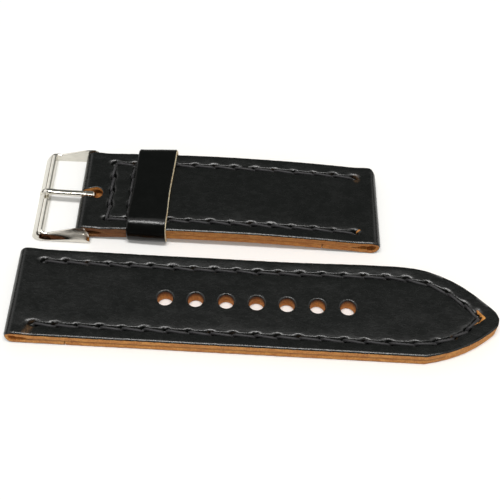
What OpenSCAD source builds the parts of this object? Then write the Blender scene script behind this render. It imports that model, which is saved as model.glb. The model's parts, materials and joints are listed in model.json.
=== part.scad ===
// Two-piece leather watch strap with a steel pin buckle.
// The long half lies flat and the short half arches gently over its loose keeper.
// X runs along the strap, Y across it and Z up from the surface that it lies on.

/* [Strap] */
// Width of both halves, which is also the width between the watch's lugs
strap_w = 24; // [20:1:26]
// Length of the long half from its lug end to its tip
long_len = 115; // [106:1:130]
// Length of the short half from its lug end to the fold at the buckle
short_len = 75; // [70:1:84]
// Thickness of one layer of leather
layer_t = 1.9; // [1.7:0.1:2.2]
// Space left between the two halves where they lie side by side
halves_gap = 6.3; // [5:0.1:12]

/* [Lug ends] */
// Diameter of the tunnel for a spring bar
tunnel_d = 1.9; // [1.8:0.1:2.1]
// Leather around a tunnel, pared thinner so that it folds
fold_t = 1.15; // [1.1:0.05:1.3]
// Length of the flap that is turned under at a lug end
lug_flap = 14; // [12:0.5:17]
// Length of the wedge-shaped slit of a tunnel, from the lug end
lug_slit = 5.5; // [5:0.1:6]

/* [Tip and holes] */
// Length over which the long half narrows to its tip
taper_len = 19.5; // [17:0.5:21]
// Radius of the long arcs at the sides of the tip
taper_r = 40; // [36:1:60]
// Radius of the point of the tip
tip_r = 3.4; // [2.6:0.1:4]
// Diameter of a hole for the tongue
hole_d = 3.7; // [3.4:0.1:4]
// Distance between neighbouring tongue holes
hole_pitch = 7.2; // [6.4:0.1:7.8]
// Number of tongue holes
hole_count = 7; // [5:1:7]
// Distance from the tip to the nearest tongue hole
hole_from_tip = 35.5; // [33:0.5:39]
// Bevel pressed into the rim of a tongue hole
hole_bevel = 0.2; // [0.1:0.05:0.3]

/* [Stitching] */
// Distance from the strap's edge to a row of stitches
stitch_inset = 3.3; // [3:0.1:3.8]
// Distance between neighbouring stitches
stitch_pitch = 5.05; // [4.8:0.05:5.4]
// Distance from a lug end to the first stitch
stitch_start = 6.6; // [6.2:0.1:7]
// Thickness of the waxed thread
thread_d = 0.85; // [0.7:0.05:0.95]
// Diameter of the hole that the thread passes through
needle_d = 1.2; // [1.1:0.05:1.4]
// Depth of the groove that the top stitches lie in
groove_top = 0.55; // [0.45:0.05:0.7]
// Number of stitches in each row across the buckle end
cross_count = 4; // [3:1:5]

/* [Buckle] */
// Distance from the spring bar to the front of the buckle
buckle_reach = 13.1; // [12:0.1:14.5]
// Distance that the short half's fold stays back from the long half's lug end
fold_setback = 12.4; // [11:0.1:15]
// Width of the flat on top of the front bar
bar_flat = 1.3; // [1.1:0.1:1.6]
// Height of the front bar
bar_h = 2.6; // [2.3:0.1:2.9]
// Distance that the front of the bar slopes outwards on its way down
bar_slope = 1.6; // [1.2:0.1:1.9]
// Height of the arms above the table where they are tallest
arm_h = 4.8; // [4.6:0.1:5.2]
// Thickness of an arm at the table
arm_t = 1.35; // [1.3:0.05:1.6]
// Distance that an arm's outer side leans inwards on its way up
arm_lean = 0.45; // [0.2:0.05:0.55]
// Space between an arm and the edge of the strap
arm_gap = 0.2; // [0.15:0.05:0.35]
// Length of the flap that is turned under at the buckle
buckle_flap = 16.5; // [15.5:0.5:19]
// Length of the wedge-shaped slit behind the spring bar, from the fold
buckle_slit = 6.8; // [6.4:0.1:7.2]

/* [Tongue] */
// Width of the tongue
tongue_w = 1.6; // [1.4:0.1:2.2]
// Thickness of the tongue
tongue_t = 1.2; // [1.1:0.05:1.3]
// Distance from the strap's middle to the tongue, towards the near edge
tongue_off = 0.95; // [0:0.05:1.6]
// Width of the slot in the leather for the tongue
slot_w = 3.4; // [3:0.1:3.8]
// Length of that slot from the fold
slot_len = 5.9; // [5.6:0.1:6.1]

/* [Spring bar] */
// Outer diameter of the spring bar's tube
tube_d = 1.8; // [1.7:0.05:1.9]
// Wall of the tube
tube_wall = 0.25; // [0.2:0.01:0.27]
// Diameter of the pin that stands out of each end
pin_d = 0.8; // [0.7:0.05:0.85]
// Depth of the pin's blind hole in each arm
pin_seat = 0.75; // [0.6:0.05:0.85]

/* [Keeper] */
// Width of the keeper along the strap
keeper_w = 9.5; // [8:0.5:11]
// Thickness of the keeper's leather
keeper_t = 1; // [0.9:0.05:1.15]
// Distance from the fold at the buckle to the middle of the keeper
keeper_from_fold = 18.1; // [17.6:0.1:21]
// Space between the keeper and the underside of the strap
keeper_under = 0.12; // [0.1:0.01:0.2]
// Space between the keeper and the strap's near edge
keeper_near = 0.3; // [0.25:0.05:0.4]
// Space between the keeper and the strap's far edge
keeper_far = 0.3; // [0.25:0.05:0.35]
// Distance from the lug end to the highest point of the arch
crest_from_lug = 39.6; // [37:0.1:42]

/* [Hidden] */

black_leather = [0.11, 0.115, 0.11];
keeper_leather = [0.07, 0.075, 0.07];
tan_leather = [0.72, 0.46, 0.24];
black_thread = [0.16, 0.16, 0.165];
polished_steel = [0.82, 0.81, 0.78];

// Small spaces that let the pieces go together
glue_line = 0.04;
flap_joint = 0.2;
tunnel_fit = 0.1;
running_fit = 0.05;
thread_fit = 0.02;
thread_side = 0.2;
keeper_thread_fit = 0.1;
seat_fit = 0.02;
// Distance that a cutting shape runs past the surface it cuts
cut_over = 1;

// The stack of two layers, and the folds at its ends
stack_t = 2 * layer_t;
lug_fold_r = tunnel_d / 2 + fold_t;
bar_tunnel_r = tube_d / 2 + tunnel_fit;
buckle_fold_r = bar_tunnel_r + fold_t;
// Length over which the swelling of a fold runs out into the flat, and the angle where it starts
fold_blend = 5;
blend_a = 75;
// Share of a tunnel's radius that its wedge takes up on each side, and how far it runs into the glue line
wedge_share = 0.85;
wedge_over = 0.3;
profile_step = 3;
fold_steps = 12;

// Places along X, with the long half centred on the origin
long_lug_x = -long_len / 2;
tip_x = long_len / 2;
fold_x = long_lug_x + fold_setback;
hinge_x = fold_x + buckle_fold_r;
short_lug_x = fold_x + short_len;

// Places along Y, with the whole strap centred on the origin
total_w = 2 * strap_w + halves_gap + arm_gap + arm_t;
long_y = -total_w / 2;
long_mid_y = long_y + strap_w / 2;
short_y = long_y + strap_w + halves_gap;
short_mid_y = short_y + strap_w / 2;
tongue_y = short_mid_y - tongue_off;

// The arch of the short half: the keeper's lower side lifts it off the table
crest_x = short_lug_x - crest_from_lug;
keeper_x = fold_x + keeper_from_fold;
lug_span = crest_from_lug - lug_fold_r;
keeper_span = crest_x - keeper_x;
keeper_lift = keeper_t + keeper_under + seat_fit;
bow_r = (pow(lug_span, 2) - pow(keeper_span, 2) - keeper_w * keeper_span) / (2 * keeper_lift);
crest_z = (bow_r + lug_fold_r) * (1 - cos(bow_angle(short_lug_x - lug_fold_r)));

// Angle of the arch at a place x along the short half
function bow_angle(x) = (x - crest_x) / bow_r * 180 / PI;

// Place in X and Z of a point given by its distance x along the strap and height h above its underside
function bow(p) = [
  crest_x + (bow_r + p[1]) * sin(bow_angle(p[0])),
  crest_z - bow_r + (bow_r + p[1]) * cos(bow_angle(p[0]))
];

// The long half lies flat, so its profile keeps its points
function settle(points, arched) = arched ? [for (p = points) bow(p)] : points;

hinge = bow([hinge_x, buckle_fold_r]);

// Stitching: even rows along the edges, with a whole number of stitches in each
row_y = strap_w / 2 - stitch_inset;
thread_sink = 0.1;
groove_w = thread_d + 2 * thread_side;
groove_under = thread_d + thread_sink;
// Small difference in depth and length where two grooves meet, so that no two of their faces nearly coincide
groove_step = 0.05;
thread_r = thread_d / 2;
// The upright lengths are pulled a little thinner than the flat ones
post_r = 0.9 * thread_r;
thread_top = stack_t - groove_top + thread_fit + thread_r;
thread_low = groove_under - thread_fit - thread_r;
keeper_over = thread_top + thread_r - stack_t + keeper_thread_fit;
slit_to_row = 1;
short_first_x = short_lug_x - stitch_start;
cross_front_x = fold_x + buckle_slit + slit_to_row;
short_row_n = round((short_first_x - cross_front_x) / stitch_pitch);
short_pitch = (short_first_x - cross_front_x) / short_row_n;
cross_rear_x = cross_front_x + short_pitch;
cross_pitch = 2 * row_y / cross_count;

// Outline of the tip: a long arc on each side, tangent to the small arc of the point
taper_x = tip_x - taper_len;
point_c = [tip_x - tip_r, 0];
taper_c = lower_meeting([taper_x, strap_w / 2], taper_r, point_c, taper_r - tip_r);
taper_a0 = atan2(strap_w / 2 - taper_c[1], taper_x - taper_c[0]);
taper_a1 = atan2(-taper_c[1], point_c[0] - taper_c[0]);

// Lower of the two points where a circle about p meets a circle about q
function lower_meeting(p, rp, q, rq) =
  let(
    d = norm(q - p),
    along = (pow(rp, 2) - pow(rq, 2) + pow(d, 2)) / (2 * d),
    side = sqrt(pow(rp, 2) - pow(along, 2)),
    u = (q - p) / d
  )
  p + along * u + side * [u[1], -u[0]];

// The row of stitches round the tip runs inside the outline, at the same inset
tip_row_r = taper_r - stitch_inset;
tip_row_a0 = asin((row_y - taper_c[1]) / tip_row_r);
tip_row_a1 = asin(-taper_c[1] / tip_row_r);
tip_row_x = taper_c[0] + tip_row_r * cos(tip_row_a0);
long_first_x = long_lug_x + stitch_start;
straight_l = tip_row_x - long_first_x;
curved_l = tip_row_r * (tip_row_a0 - tip_row_a1) * PI / 180;
long_row_n = round((straight_l + curved_l) / stitch_pitch);
long_pitch = (straight_l + curved_l) / long_row_n;

// Place in X and Y of stitch number i, counted from the lug end, on the side given by sign
function long_stitch(i, sign) =
  let(
    s = i * long_pitch,
    a = tip_row_a0 - (s - straight_l) / tip_row_r * 180 / PI
  )
  s < straight_l
    ? [long_first_x + s, sign * row_y]
    : [taper_c[0] + tip_row_r * cos(a), sign * (taper_c[1] + tip_row_r * sin(a))];

long_stitches = concat(
  [for (i = [0:long_row_n]) long_stitch(i, 1)],
  [for (i = [long_row_n - 1:-1:0]) long_stitch(i, -1)]
);
short_stitches = concat(
  [for (i = [0:short_row_n]) [short_first_x - i * short_pitch, row_y]],
  [for (j = [1:cross_count - 1]) [cross_front_x, row_y - j * cross_pitch]],
  [for (i = [short_row_n:-1:0]) [short_first_x - i * short_pitch, -row_y]]
);
cross_stitches = [for (j = [1:cross_count - 1]) [cross_rear_x, row_y - j * cross_pitch]];
// Distance from the edge rows at which the second row's thread is tied off
cross_end_gap = needle_d;

// Buckle: side view of the frame about its hinge, with the table at the hinge's depth
table = -hinge[1];
bar_front = -buckle_reach;
bar_edge = bar_front + bar_slope;
bar_back = bar_edge + bar_flat;
arm_in = strap_w / 2 + arm_gap;
arm_out = arm_in + arm_t;
// The arms dip behind the bar and peak just before the hinge
arm_dip = [bar_back + 1, table + bar_h - 0.6];
arm_peak = [-1.1, table + arm_h];
// Points of an arm's rounded top, counted from its peak
arm_top = [[-2.6, -0.55], [-0.9, -0.08], [0, 0], [0.9, -0.35], [1.8, -1.35]];
// Points of an arm's blunt heel behind the hinge, counted from the table
arm_heel = [[1.5, 2.1], [1.6, 1.2], [1.45, 0.3], [1.1, 0]];
// Notch in the bar that the tongue rests in
notch_depth = 0.3;
notch_w = tongue_w + 0.5;

// Spring bar: lengths along Y, counted from the middle of the strap
tube_half = strap_w / 2 - tunnel_fit;
tube_bore_r = tube_d / 2 - tube_wall;
crimp_l = 0.4;
plug_r = tube_bore_r - running_fit;
plug_l = 2.5;
plug_out = tube_half - crimp_l - seat_fit;
plug_in = plug_out - plug_l;
pin_end = arm_in + pin_seat - running_fit;
spring_wire = 0.22;
spring_turns = 14;
spring_half = plug_in - seat_fit;

// Tongue: its eye turns on the tube, and its shank lies a hair above the notch
eye_r = tube_d / 2 + running_fit;
eye_wall = 0.8;
eye_out = eye_r + eye_wall;
tongue_low = table + bar_h - notch_depth + running_fit;
tongue_high = tongue_low + tongue_t;
// Distances behind the bar: where the underside bends, and where the top has risen and turns to the eye
under_bend = 3.2;
over_rise = 1.6;
over_bend = 4.6;
// Underside from the eye to the bar's back, the turned-down point, and the top back to the eye
tongue_root = [0.5 - eye_out, 1.15];
tongue_root_t = 1.5;
tongue_under = [[bar_back + under_bend, 0.15], [bar_back + 0.4, 0], [bar_edge - 0.38, 0]];
tongue_point = [[bar_edge - 0.8, -0.65], [bar_edge - 1.1, -0.5]];
tongue_over = [
  [bar_edge - 0.8, -0.65],
  [bar_edge + 0.1, -0.15],
  [bar_back - 0.1, 0.1],
  [bar_back + over_rise, 0.25],
  [bar_back + over_bend, 0.4]
];

// Keeper: inside corners follow the strap with room for its edges
keeper_in_near = -strap_w / 2 - keeper_near;
keeper_in_far = strap_w / 2 + keeper_far;
keeper_in_low = -keeper_under;
keeper_in_top = stack_t + keeper_over;
near_corner = corner_r(keeper_near, keeper_over);
far_corner = corner_r(keeper_far, keeper_over);
low_corner = corner_r(keeper_far, keeper_under);
// The keeper's seam: its ends meet edge to edge below the strap and are laced with three stitches
seam_gap = 0.1;
seam_thread_d = 0.36;
seam_hole_d = seam_thread_d + 0.14;
seam_groove_t = seam_thread_d + 0.06;
seam_rows = [-0.3, 0, 0.3] * keeper_w;
seam_reach = 1.6;
seam_low = keeper_in_low - keeper_t + seam_groove_t / 2;
seam_high = keeper_in_low - seam_groove_t / 2;

// Largest radius of an inside corner that clears a square edge at these two spaces, less a margin
function corner_r(beside, above) = 0.85 * (beside + above + sqrt(2 * beside * above));

// Points of an arc about c from angle a0 to a1, both included
function arc(c, r, a0, a1, n) = [
  for (i = [0:n])
    let(a = a0 + (a1 - a0) * i / n)
      c + r * [cos(a), sin(a)]
];

// Points from p to q in short steps, without p itself
function run(p, q) =
  let(n = ceil(norm(q - p) / profile_step))
  [for (i = [1:n]) p + (q - p) * i / n];

// A profile in X and Z, made solid across Y from y0 to y1
module across(y0, y1) {
  translate([0, y1, 0])
    rotate([90, 0, 0])
      linear_extrude(height = y1 - y0)
        children();
}

// The void of a fold: a round tunnel that runs out in a wedge, just past slit_x, at the glue line
module fold_void(axis, r, slit_x, arched, y0, y1) {
  reach = [slit_x, layer_t - glue_line / 2] - axis;
  apex = axis + reach * (1 + wedge_over / norm(reach));
  side = wedge_share * r * [-reach[1], reach[0]] / norm(reach);
  centre = settle([axis], arched)[0];
  translate([centre[0], y1, centre[1]])
    rotate([90, 0, 0])
      cylinder(h = y1 - y0, r = r, $fn = 48);
  across(y0, y1)
    polygon(settle([axis + side, apex, axis - side], arched));
}

// Something that stands square to the strap's underside at the place p in X and Y
module upright(p, arched, mid_y) {
  foot = settle([[p[0], 0]], arched)[0];
  translate([foot[0], mid_y + p[1], foot[1]])
    rotate([0, arched ? bow_angle(p[0]) : 0, 0])
      children();
}

module needle_holes(places, arched, mid_y) {
  for (p = places)
    upright(p, arched, mid_y)
      translate([0, 0, -cut_over])
        cylinder(h = stack_t + 2 * cut_over, d = needle_d, $fn = 16);
}

// A groove along the arched half between two stitches, from height h0 to height h1
module arched_groove(x0, x1, y, h0, h1) {
  half = groove_w / 2;
  start = x0 - half - groove_step;
  end = x1 + half;
  outline = concat([[start, h0]], run([start, h0], [end, h0]), [[end, h1]], run([end, h1], [start, h1]));
  across(y - half, y + half)
    polygon(settle(outline, true));
}

// Plan of a straight groove in any direction between two stitches
module groove_plan(p, q) {
  translate((p + q) / 2)
    rotate(atan2(q[1] - p[1], q[0] - p[0]))
      square([norm(q - p) + groove_w, groove_w], center = true);
}

// All grooves of the short half, above or below. The two across end inside the holes of the edge rows.
module short_grooves(h0, h1) {
  across_half = row_y + needle_d / 4;
  for (side = [-1, 1])
    arched_groove(cross_front_x, short_first_x, short_mid_y + side * row_y, h0, h1);
  for (x = [cross_front_x, cross_rear_x])
    upright([x, 0], true, short_mid_y)
      translate([-groove_w / 2, -across_half, h0 - groove_step])
        cube([groove_w, 2 * across_half, h1 - h0 + 2 * groove_step]);
}

module long_grooves(h0, h1) {
  straight = [for (p = long_stitches) if (p[0] <= tip_row_x) p[0]];
  translate([0, long_mid_y, h0])
    linear_extrude(height = h1 - h0) {
      for (side = [-1, 1])
        groove_plan([long_first_x, side * row_y], [max(straight), side * row_y]);
      for (i = [0:len(long_stitches) - 2])
        if (max(long_stitches[i][0], long_stitches[i + 1][0]) > tip_row_x)
          groove_plan(long_stitches[i], long_stitches[i + 1]);
    }
}

// Plan of the long half with its tapered tip
module long_plan() {
  tip = concat(
    arc(taper_c, taper_r, taper_a0, taper_a1, 10),
    arc(point_c, tip_r, taper_a1, -taper_a1, 12),
    [for (p = arc(taper_c, taper_r, taper_a1, taper_a0, 10)) [p[0], -p[1]]]
  );
  translate([0, long_mid_y, -cut_over])
    linear_extrude(height = stack_t + 3 * cut_over)
      polygon(concat([[long_lug_x - cut_over, strap_w / 2]], tip, [[long_lug_x - cut_over, -strap_w / 2]]));
}

module tongue_holes() {
  for (i = [0:hole_count - 1])
    translate([tip_x - hole_from_tip - i * hole_pitch, long_mid_y, 0]) {
      translate([0, 0, -cut_over])
        cylinder(h = stack_t + 2 * cut_over, d = hole_d, $fn = 48);
      translate([0, 0, stack_t - hole_bevel])
        cylinder(h = 2 * hole_bevel, d1 = hole_d, d2 = hole_d + 4 * hole_bevel, $fn = 48);
    }
}

// Slot for the tongue, open at the fold
module tongue_slot() {
  upright([fold_x + slot_len - slot_w / 2, 0], true, tongue_y)
    translate([0, 0, -cut_over]) {
      cylinder(h = 2 * buckle_fold_r + 2 * cut_over, d = slot_w, $fn = 48);
      translate([-slot_len, -slot_w / 2, 0])
        cube([slot_len, slot_w, 2 * buckle_fold_r + 2 * cut_over]);
    }
}

// Outer leather of the short half: the top layer, folded under at both ends
module short_outer_leather() {
  buckle_c = [hinge_x, buckle_fold_r];
  lug_c = [short_lug_x - lug_fold_r, lug_fold_r];
  flap_top = layer_t - glue_line;
  outline = concat(
    arc(buckle_c, buckle_fold_r, 270, 90, fold_steps),
    run([hinge_x, 2 * buckle_fold_r], [hinge_x + fold_blend, stack_t]),
    run([hinge_x + fold_blend, stack_t], [lug_c[0] - fold_blend, stack_t]),
    run([lug_c[0] - fold_blend, stack_t], [lug_c[0], 2 * lug_fold_r]),
    arc(lug_c, lug_fold_r, blend_a, -90, fold_steps),
    run([lug_c[0], 0], [short_lug_x - lug_flap, 0]),
    [[short_lug_x - lug_flap, flap_top]],
    run([short_lug_x - lug_flap, flap_top], [short_lug_x - lug_slit, flap_top]),
    [[short_lug_x - lug_slit, layer_t]],
    run([short_lug_x - lug_slit, layer_t], [fold_x + buckle_slit, layer_t]),
    [[fold_x + buckle_slit, flap_top]],
    run([fold_x + buckle_slit, flap_top], [fold_x + buckle_flap, flap_top]),
    [[fold_x + buckle_flap, 0]],
    run([fold_x + buckle_flap, 0], [hinge_x + profile_step, 0])
  );
  y0 = short_mid_y - strap_w / 2;
  y1 = short_mid_y + strap_w / 2;
  color(black_leather)
    difference() {
      across(y0, y1)
        polygon(settle(outline, true));
      fold_void(buckle_c, bar_tunnel_r, fold_x + buckle_slit, true, y0 - cut_over, y1 + cut_over);
      fold_void(lug_c, tunnel_d / 2, short_lug_x - lug_slit, true, y0 - cut_over, y1 + cut_over);
      tongue_slot();
      needle_holes(short_stitches, true, short_mid_y);
      needle_holes(cross_stitches, true, short_mid_y);
      short_grooves(stack_t - groove_top, stack_t + cut_over);
      short_grooves(-cut_over, groove_under);
    }
}

// Lining of the short half: it fills the underside between the two flaps
module short_lining_leather() {
  x0 = fold_x + buckle_flap + flap_joint;
  x1 = short_lug_x - lug_flap - flap_joint;
  top = layer_t - glue_line;
  outline = concat([[x0, 0]], run([x0, 0], [x1, 0]), [[x1, top]], run([x1, top], [x0, top]));
  color(tan_leather)
    difference() {
      across(short_mid_y - strap_w / 2, short_mid_y + strap_w / 2)
        polygon(settle(outline, true));
      needle_holes(short_stitches, true, short_mid_y);
      short_grooves(-cut_over, groove_under);
    }
}

// Outer leather of the long half: the top layer, folded under at the lug end
module long_outer_leather() {
  lug_c = [long_lug_x + lug_fold_r, lug_fold_r];
  flap_top = layer_t - glue_line;
  outline = [
    each arc(lug_c, lug_fold_r, 270, 90, fold_steps),
    [lug_c[0] + fold_blend, stack_t],
    [tip_x, stack_t],
    [tip_x, layer_t],
    [long_lug_x + lug_slit, layer_t],
    [long_lug_x + lug_slit, flap_top],
    [long_lug_x + lug_flap, flap_top],
    [long_lug_x + lug_flap, 0]
  ];
  y0 = long_mid_y - strap_w / 2;
  y1 = long_mid_y + strap_w / 2;
  color(black_leather)
    difference() {
      intersection() {
        across(y0 - cut_over, y1 + cut_over)
          polygon(outline);
        long_plan();
      }
      fold_void(lug_c, tunnel_d / 2, long_lug_x + lug_slit, false, y0 - cut_over, y1 + cut_over);
      tongue_holes();
      needle_holes(long_stitches, false, long_mid_y);
      long_grooves(stack_t - groove_top, stack_t + cut_over);
      long_grooves(-cut_over, groove_under);
    }
}

// Lining of the long half, from the flap to the tip
module long_lining_leather() {
  x0 = long_lug_x + lug_flap + flap_joint;
  color(tan_leather)
    difference() {
      intersection() {
        translate([x0, long_mid_y - strap_w / 2, 0])
          cube([tip_x - x0, strap_w, layer_t - glue_line]);
        long_plan();
      }
      tongue_holes();
      needle_holes(long_stitches, false, long_mid_y);
      long_grooves(-cut_over, groove_under);
    }
}

// A straight six-sided length of thread between two points
module thread_bar(p, q, r) {
  d = q - p;
  translate(p)
    rotate([0, acos(d[2] / norm(d)), atan2(d[1], d[0])])
      cylinder(h = norm(d), r = r, $fn = 6);
}

// Point in space at height h over the place p in X and Y
function over(p, h, arched, mid_y) =
  let(s = settle([[p[0], h]], arched)[0])
  [s[0], mid_y + p[1], s[1]];

// Thread of a saddle stitch: a length above and below the leather between each two holes
module stitch_row(places, arched, mid_y) {
  knot = 0.6 * thread_r;
  for (p = places)
    thread_bar(over(p, thread_low - knot, arched, mid_y), over(p, thread_top + knot, arched, mid_y), post_r);
  for (i = [0:len(places) - 2])
    for (h = [thread_low, thread_top])
      thread_bar(over(places[i], h, arched, mid_y), over(places[i + 1], h, arched, mid_y), thread_r);
}

// Thread along both edges of the short half and across its front by the buckle
module short_edge_thread() {
  color(black_thread)
    stitch_row(short_stitches, true, short_mid_y);
}

// Thread of the second row across the buckle end, tied off beside the edge rows
module short_cross_thread() {
  end_y = row_y - cross_end_gap;
  color(black_thread) {
    stitch_row(cross_stitches, true, short_mid_y);
    for (side = [-1, 1])
      for (h = [thread_low, thread_top])
        thread_bar(
          over([cross_rear_x, side * (row_y - cross_pitch)], h, true, short_mid_y),
          over([cross_rear_x, side * end_y], h, true, short_mid_y),
          thread_r
        );
  }
}

// Thread along one edge of the long half, round the tip and back along the other
module long_edge_thread() {
  color(black_thread)
    stitch_row(long_stitches, false, long_mid_y);
}

// Outline of the keeper in Y and Z, grown by the leather's thickness for its outside
function keeper_outline(grow) =
  let(
    y0 = keeper_in_near - grow,
    y1 = keeper_in_far + grow,
    z0 = keeper_in_low - grow,
    z1 = keeper_in_top + grow,
    rn = near_corner + grow,
    rf = far_corner + grow,
    rl = low_corner + grow
  )
  concat(
    arc([y0 + rl, z0 + rl], rl, 180, 270, 5),
    arc([y1 - rl, z0 + rl], rl, 270, 360, 5),
    arc([y1 - rf, z1 - rf], rf, 0, 90, 6),
    arc([y0 + rn, z1 - rn], rn, 90, 180, 8)
  );

// Places something on the strap at the keeper, with X along the strap and Z square to it
module at_keeper() {
  upright([keeper_x, 0], true, short_mid_y)
    children();
}

// The keeper: a strip of leather closed into a loop, with its seam below
module keeper_band() {
  color(keeper_leather)
    at_keeper()
      difference() {
        translate([-keeper_w / 2, 0, 0])
          rotate([90, 0, 90])
            linear_extrude(height = keeper_w)
              difference() {
                polygon(keeper_outline(keeper_t));
                polygon(keeper_outline(0));
              }
        translate([-keeper_w / 2 - cut_over, -seam_gap / 2, keeper_in_low - keeper_t - cut_over])
          cube([keeper_w + 2 * cut_over, seam_gap, keeper_t + 1.05 * cut_over]);
        for (x = seam_rows) {
          for (y = [-seam_reach, seam_reach] / 2)
            translate([x, y, keeper_in_low - keeper_t - cut_over])
              cylinder(h = keeper_t + 1.05 * cut_over, d = seam_hole_d, $fn = 16);
          seam_groove(x, keeper_in_low - keeper_t - cut_over, seam_low + seam_groove_t / 2);
          seam_groove(x, seam_high - seam_groove_t / 2, keeper_in_low + 0.05 * cut_over);
        }
      }
}

// A groove across the keeper's seam for one stitch, from height z0 to height z1
module seam_groove(x, z0, z1) {
  length = seam_reach + seam_hole_d;
  translate([x - seam_hole_d / 2, -length / 2, z0])
    cube([seam_hole_d, length, z1 - z0]);
}

// Three stitches that hold the keeper's ends together
module keeper_seam_thread() {
  knot = seam_thread_d / 4;
  color(black_thread)
    at_keeper()
      for (x = seam_rows) {
        for (z = [seam_low, seam_high])
          thread_bar([x, -seam_reach / 2, z], [x, seam_reach / 2, z], seam_thread_d / 2);
        for (y = [-seam_reach, seam_reach] / 2)
          thread_bar([x, y, seam_low - knot], [x, y, seam_high + knot], 0.45 * seam_thread_d);
      }
}

// Places something about the buckle's hinge, in the middle of the strap
module at_hinge(y) {
  translate([hinge[0], y, hinge[1]])
    children();
}

// Buckle frame: a front bar with two arms, cut from a body with sloping sides
module buckle_frame() {
  side_view = [
    [bar_front, table],
    [bar_edge, table + bar_h],
    [bar_back, table + bar_h],
    arm_dip,
    each [for (p = arm_top) arm_peak + p],
    each [for (p = arm_heel) [p[0], table + p[1]]]
  ];
  end_view = [
    [-arm_out, table],
    [arm_out, table],
    [arm_out - arm_lean, arm_peak[1] + cut_over],
    [-arm_out + arm_lean, arm_peak[1] + cut_over]
  ];
  color(polished_steel)
    at_hinge(short_mid_y)
      difference() {
        intersection() {
          across(-arm_out - cut_over, arm_out + cut_over)
            polygon(side_view);
          translate([bar_front - cut_over, 0, 0])
            rotate([90, 0, 90])
              linear_extrude(height = buckle_reach + arm_heel[1][0] + 2 * cut_over)
                polygon(end_view);
        }
        translate([bar_back, -arm_in, table - cut_over])
          cube([buckle_reach + cut_over, 2 * arm_in, arm_h + 2 * cut_over]);
        translate([bar_front, -tongue_off - notch_w / 2, table + bar_h - notch_depth])
          cube([bar_back - bar_front + cut_over, notch_w, arm_h]);
        rotate([90, 0, 0])
          translate([0, 0, -arm_in - pin_seat])
            cylinder(h = 2 * (arm_in + pin_seat), r = pin_d / 2 + running_fit, $fn = 32);
      }
}

// Tongue: an eye on the tube and a shank that rests in the notch of the front bar
module buckle_tongue() {
  shank = [
    tongue_root - [0, tongue_root_t],
    each [for (p = tongue_under) [p[0], tongue_low + p[1]]],
    each [for (p = tongue_point) [p[0], tongue_low + p[1]]],
    each [for (p = tongue_over) [p[0], tongue_high + p[1]]],
    tongue_root
  ];
  color(polished_steel)
    at_hinge(tongue_y)
      difference() {
        union() {
          across(-tongue_w / 2, tongue_w / 2)
            polygon(shank);
          rotate([90, 0, 0])
            translate([0, 0, -tongue_w / 2])
              cylinder(h = tongue_w, r = eye_out, $fn = 48);
        }
        rotate([90, 0, 0])
          translate([0, 0, -tongue_w / 2 - cut_over])
            cylinder(h = tongue_w + 2 * cut_over, r = eye_r, $fn = 48);
      }
}

// Tube of the spring bar, crimped at both ends round the pins
module spring_bar_tube() {
  color(polished_steel)
    at_hinge(short_mid_y)
      rotate([90, 0, 0])
        difference() {
          translate([0, 0, -tube_half])
            cylinder(h = 2 * tube_half, d = tube_d, $fn = 48);
          translate([0, 0, crimp_l - tube_half])
            cylinder(h = 2 * (tube_half - crimp_l), r = tube_bore_r, $fn = 48);
          translate([0, 0, -tube_half - cut_over])
            cylinder(h = 2 * (tube_half + cut_over), r = pin_d / 2 + running_fit, $fn = 32);
        }
}

// One sprung pin, with its tip towards the side given by sign
module spring_bar_pin(sign) {
  color(polished_steel)
    at_hinge(short_mid_y)
      rotate([-90 * sign, 0, 0]) {
        translate([0, 0, plug_in])
          cylinder(h = plug_l, r = plug_r, $fn = 32);
        translate([0, 0, plug_in + plug_l / 2])
          cylinder(h = pin_end - plug_in - plug_l / 2, d = pin_d, $fn = 32);
      }
}

module spring_bar_pin_far() {
  spring_bar_pin(1);
}

module spring_bar_pin_near() {
  spring_bar_pin(-1);
}

// Coil spring that pushes the two pins apart: one unbroken wire
module spring_bar_spring() {
  ring_n = 8 * spring_turns;
  sides = 6;
  coil_r = plug_r - spring_wire / 2;
  half = spring_half - spring_wire / 2;
  points = [
    for (i = [0:ring_n])
      let(a = 360 * spring_turns * i / ring_n, y = -half + 2 * half * i / ring_n)
        for (j = [0:sides - 1])
          let(r = coil_r + spring_wire / 2 * cos(360 * j / sides))
            [r * cos(a), y + spring_wire / 2 * sin(360 * j / sides), r * sin(a)]
  ];
  sides_a = [
    for (i = [0:ring_n - 1])
      for (j = [0:sides - 1])
        let(k = i * sides, m = (j + 1) % sides)
          each [[k + j, k + m, k + sides + j], [k + m, k + sides + m, k + sides + j]]
  ];
  caps = [
    for (j = [1:sides - 2])
      each [[0, j + 1, j], [ring_n * sides, ring_n * sides + j, ring_n * sides + j + 1]]
  ];
  color(polished_steel)
    at_hinge(short_mid_y)
      polyhedron(points = points, faces = concat(sides_a, caps), convexity = 4);
}

short_outer_leather();
short_lining_leather();
short_edge_thread();
short_cross_thread();
long_outer_leather();
long_lining_leather();
long_edge_thread();
keeper_band();
keeper_seam_thread();
buckle_frame();
buckle_tongue();
spring_bar_tube();
spring_bar_pin_far();
spring_bar_pin_near();
spring_bar_spring();
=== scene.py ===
import json
import math

import bmesh
import bpy
import numpy as np
from mathutils import Matrix, Vector

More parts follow.
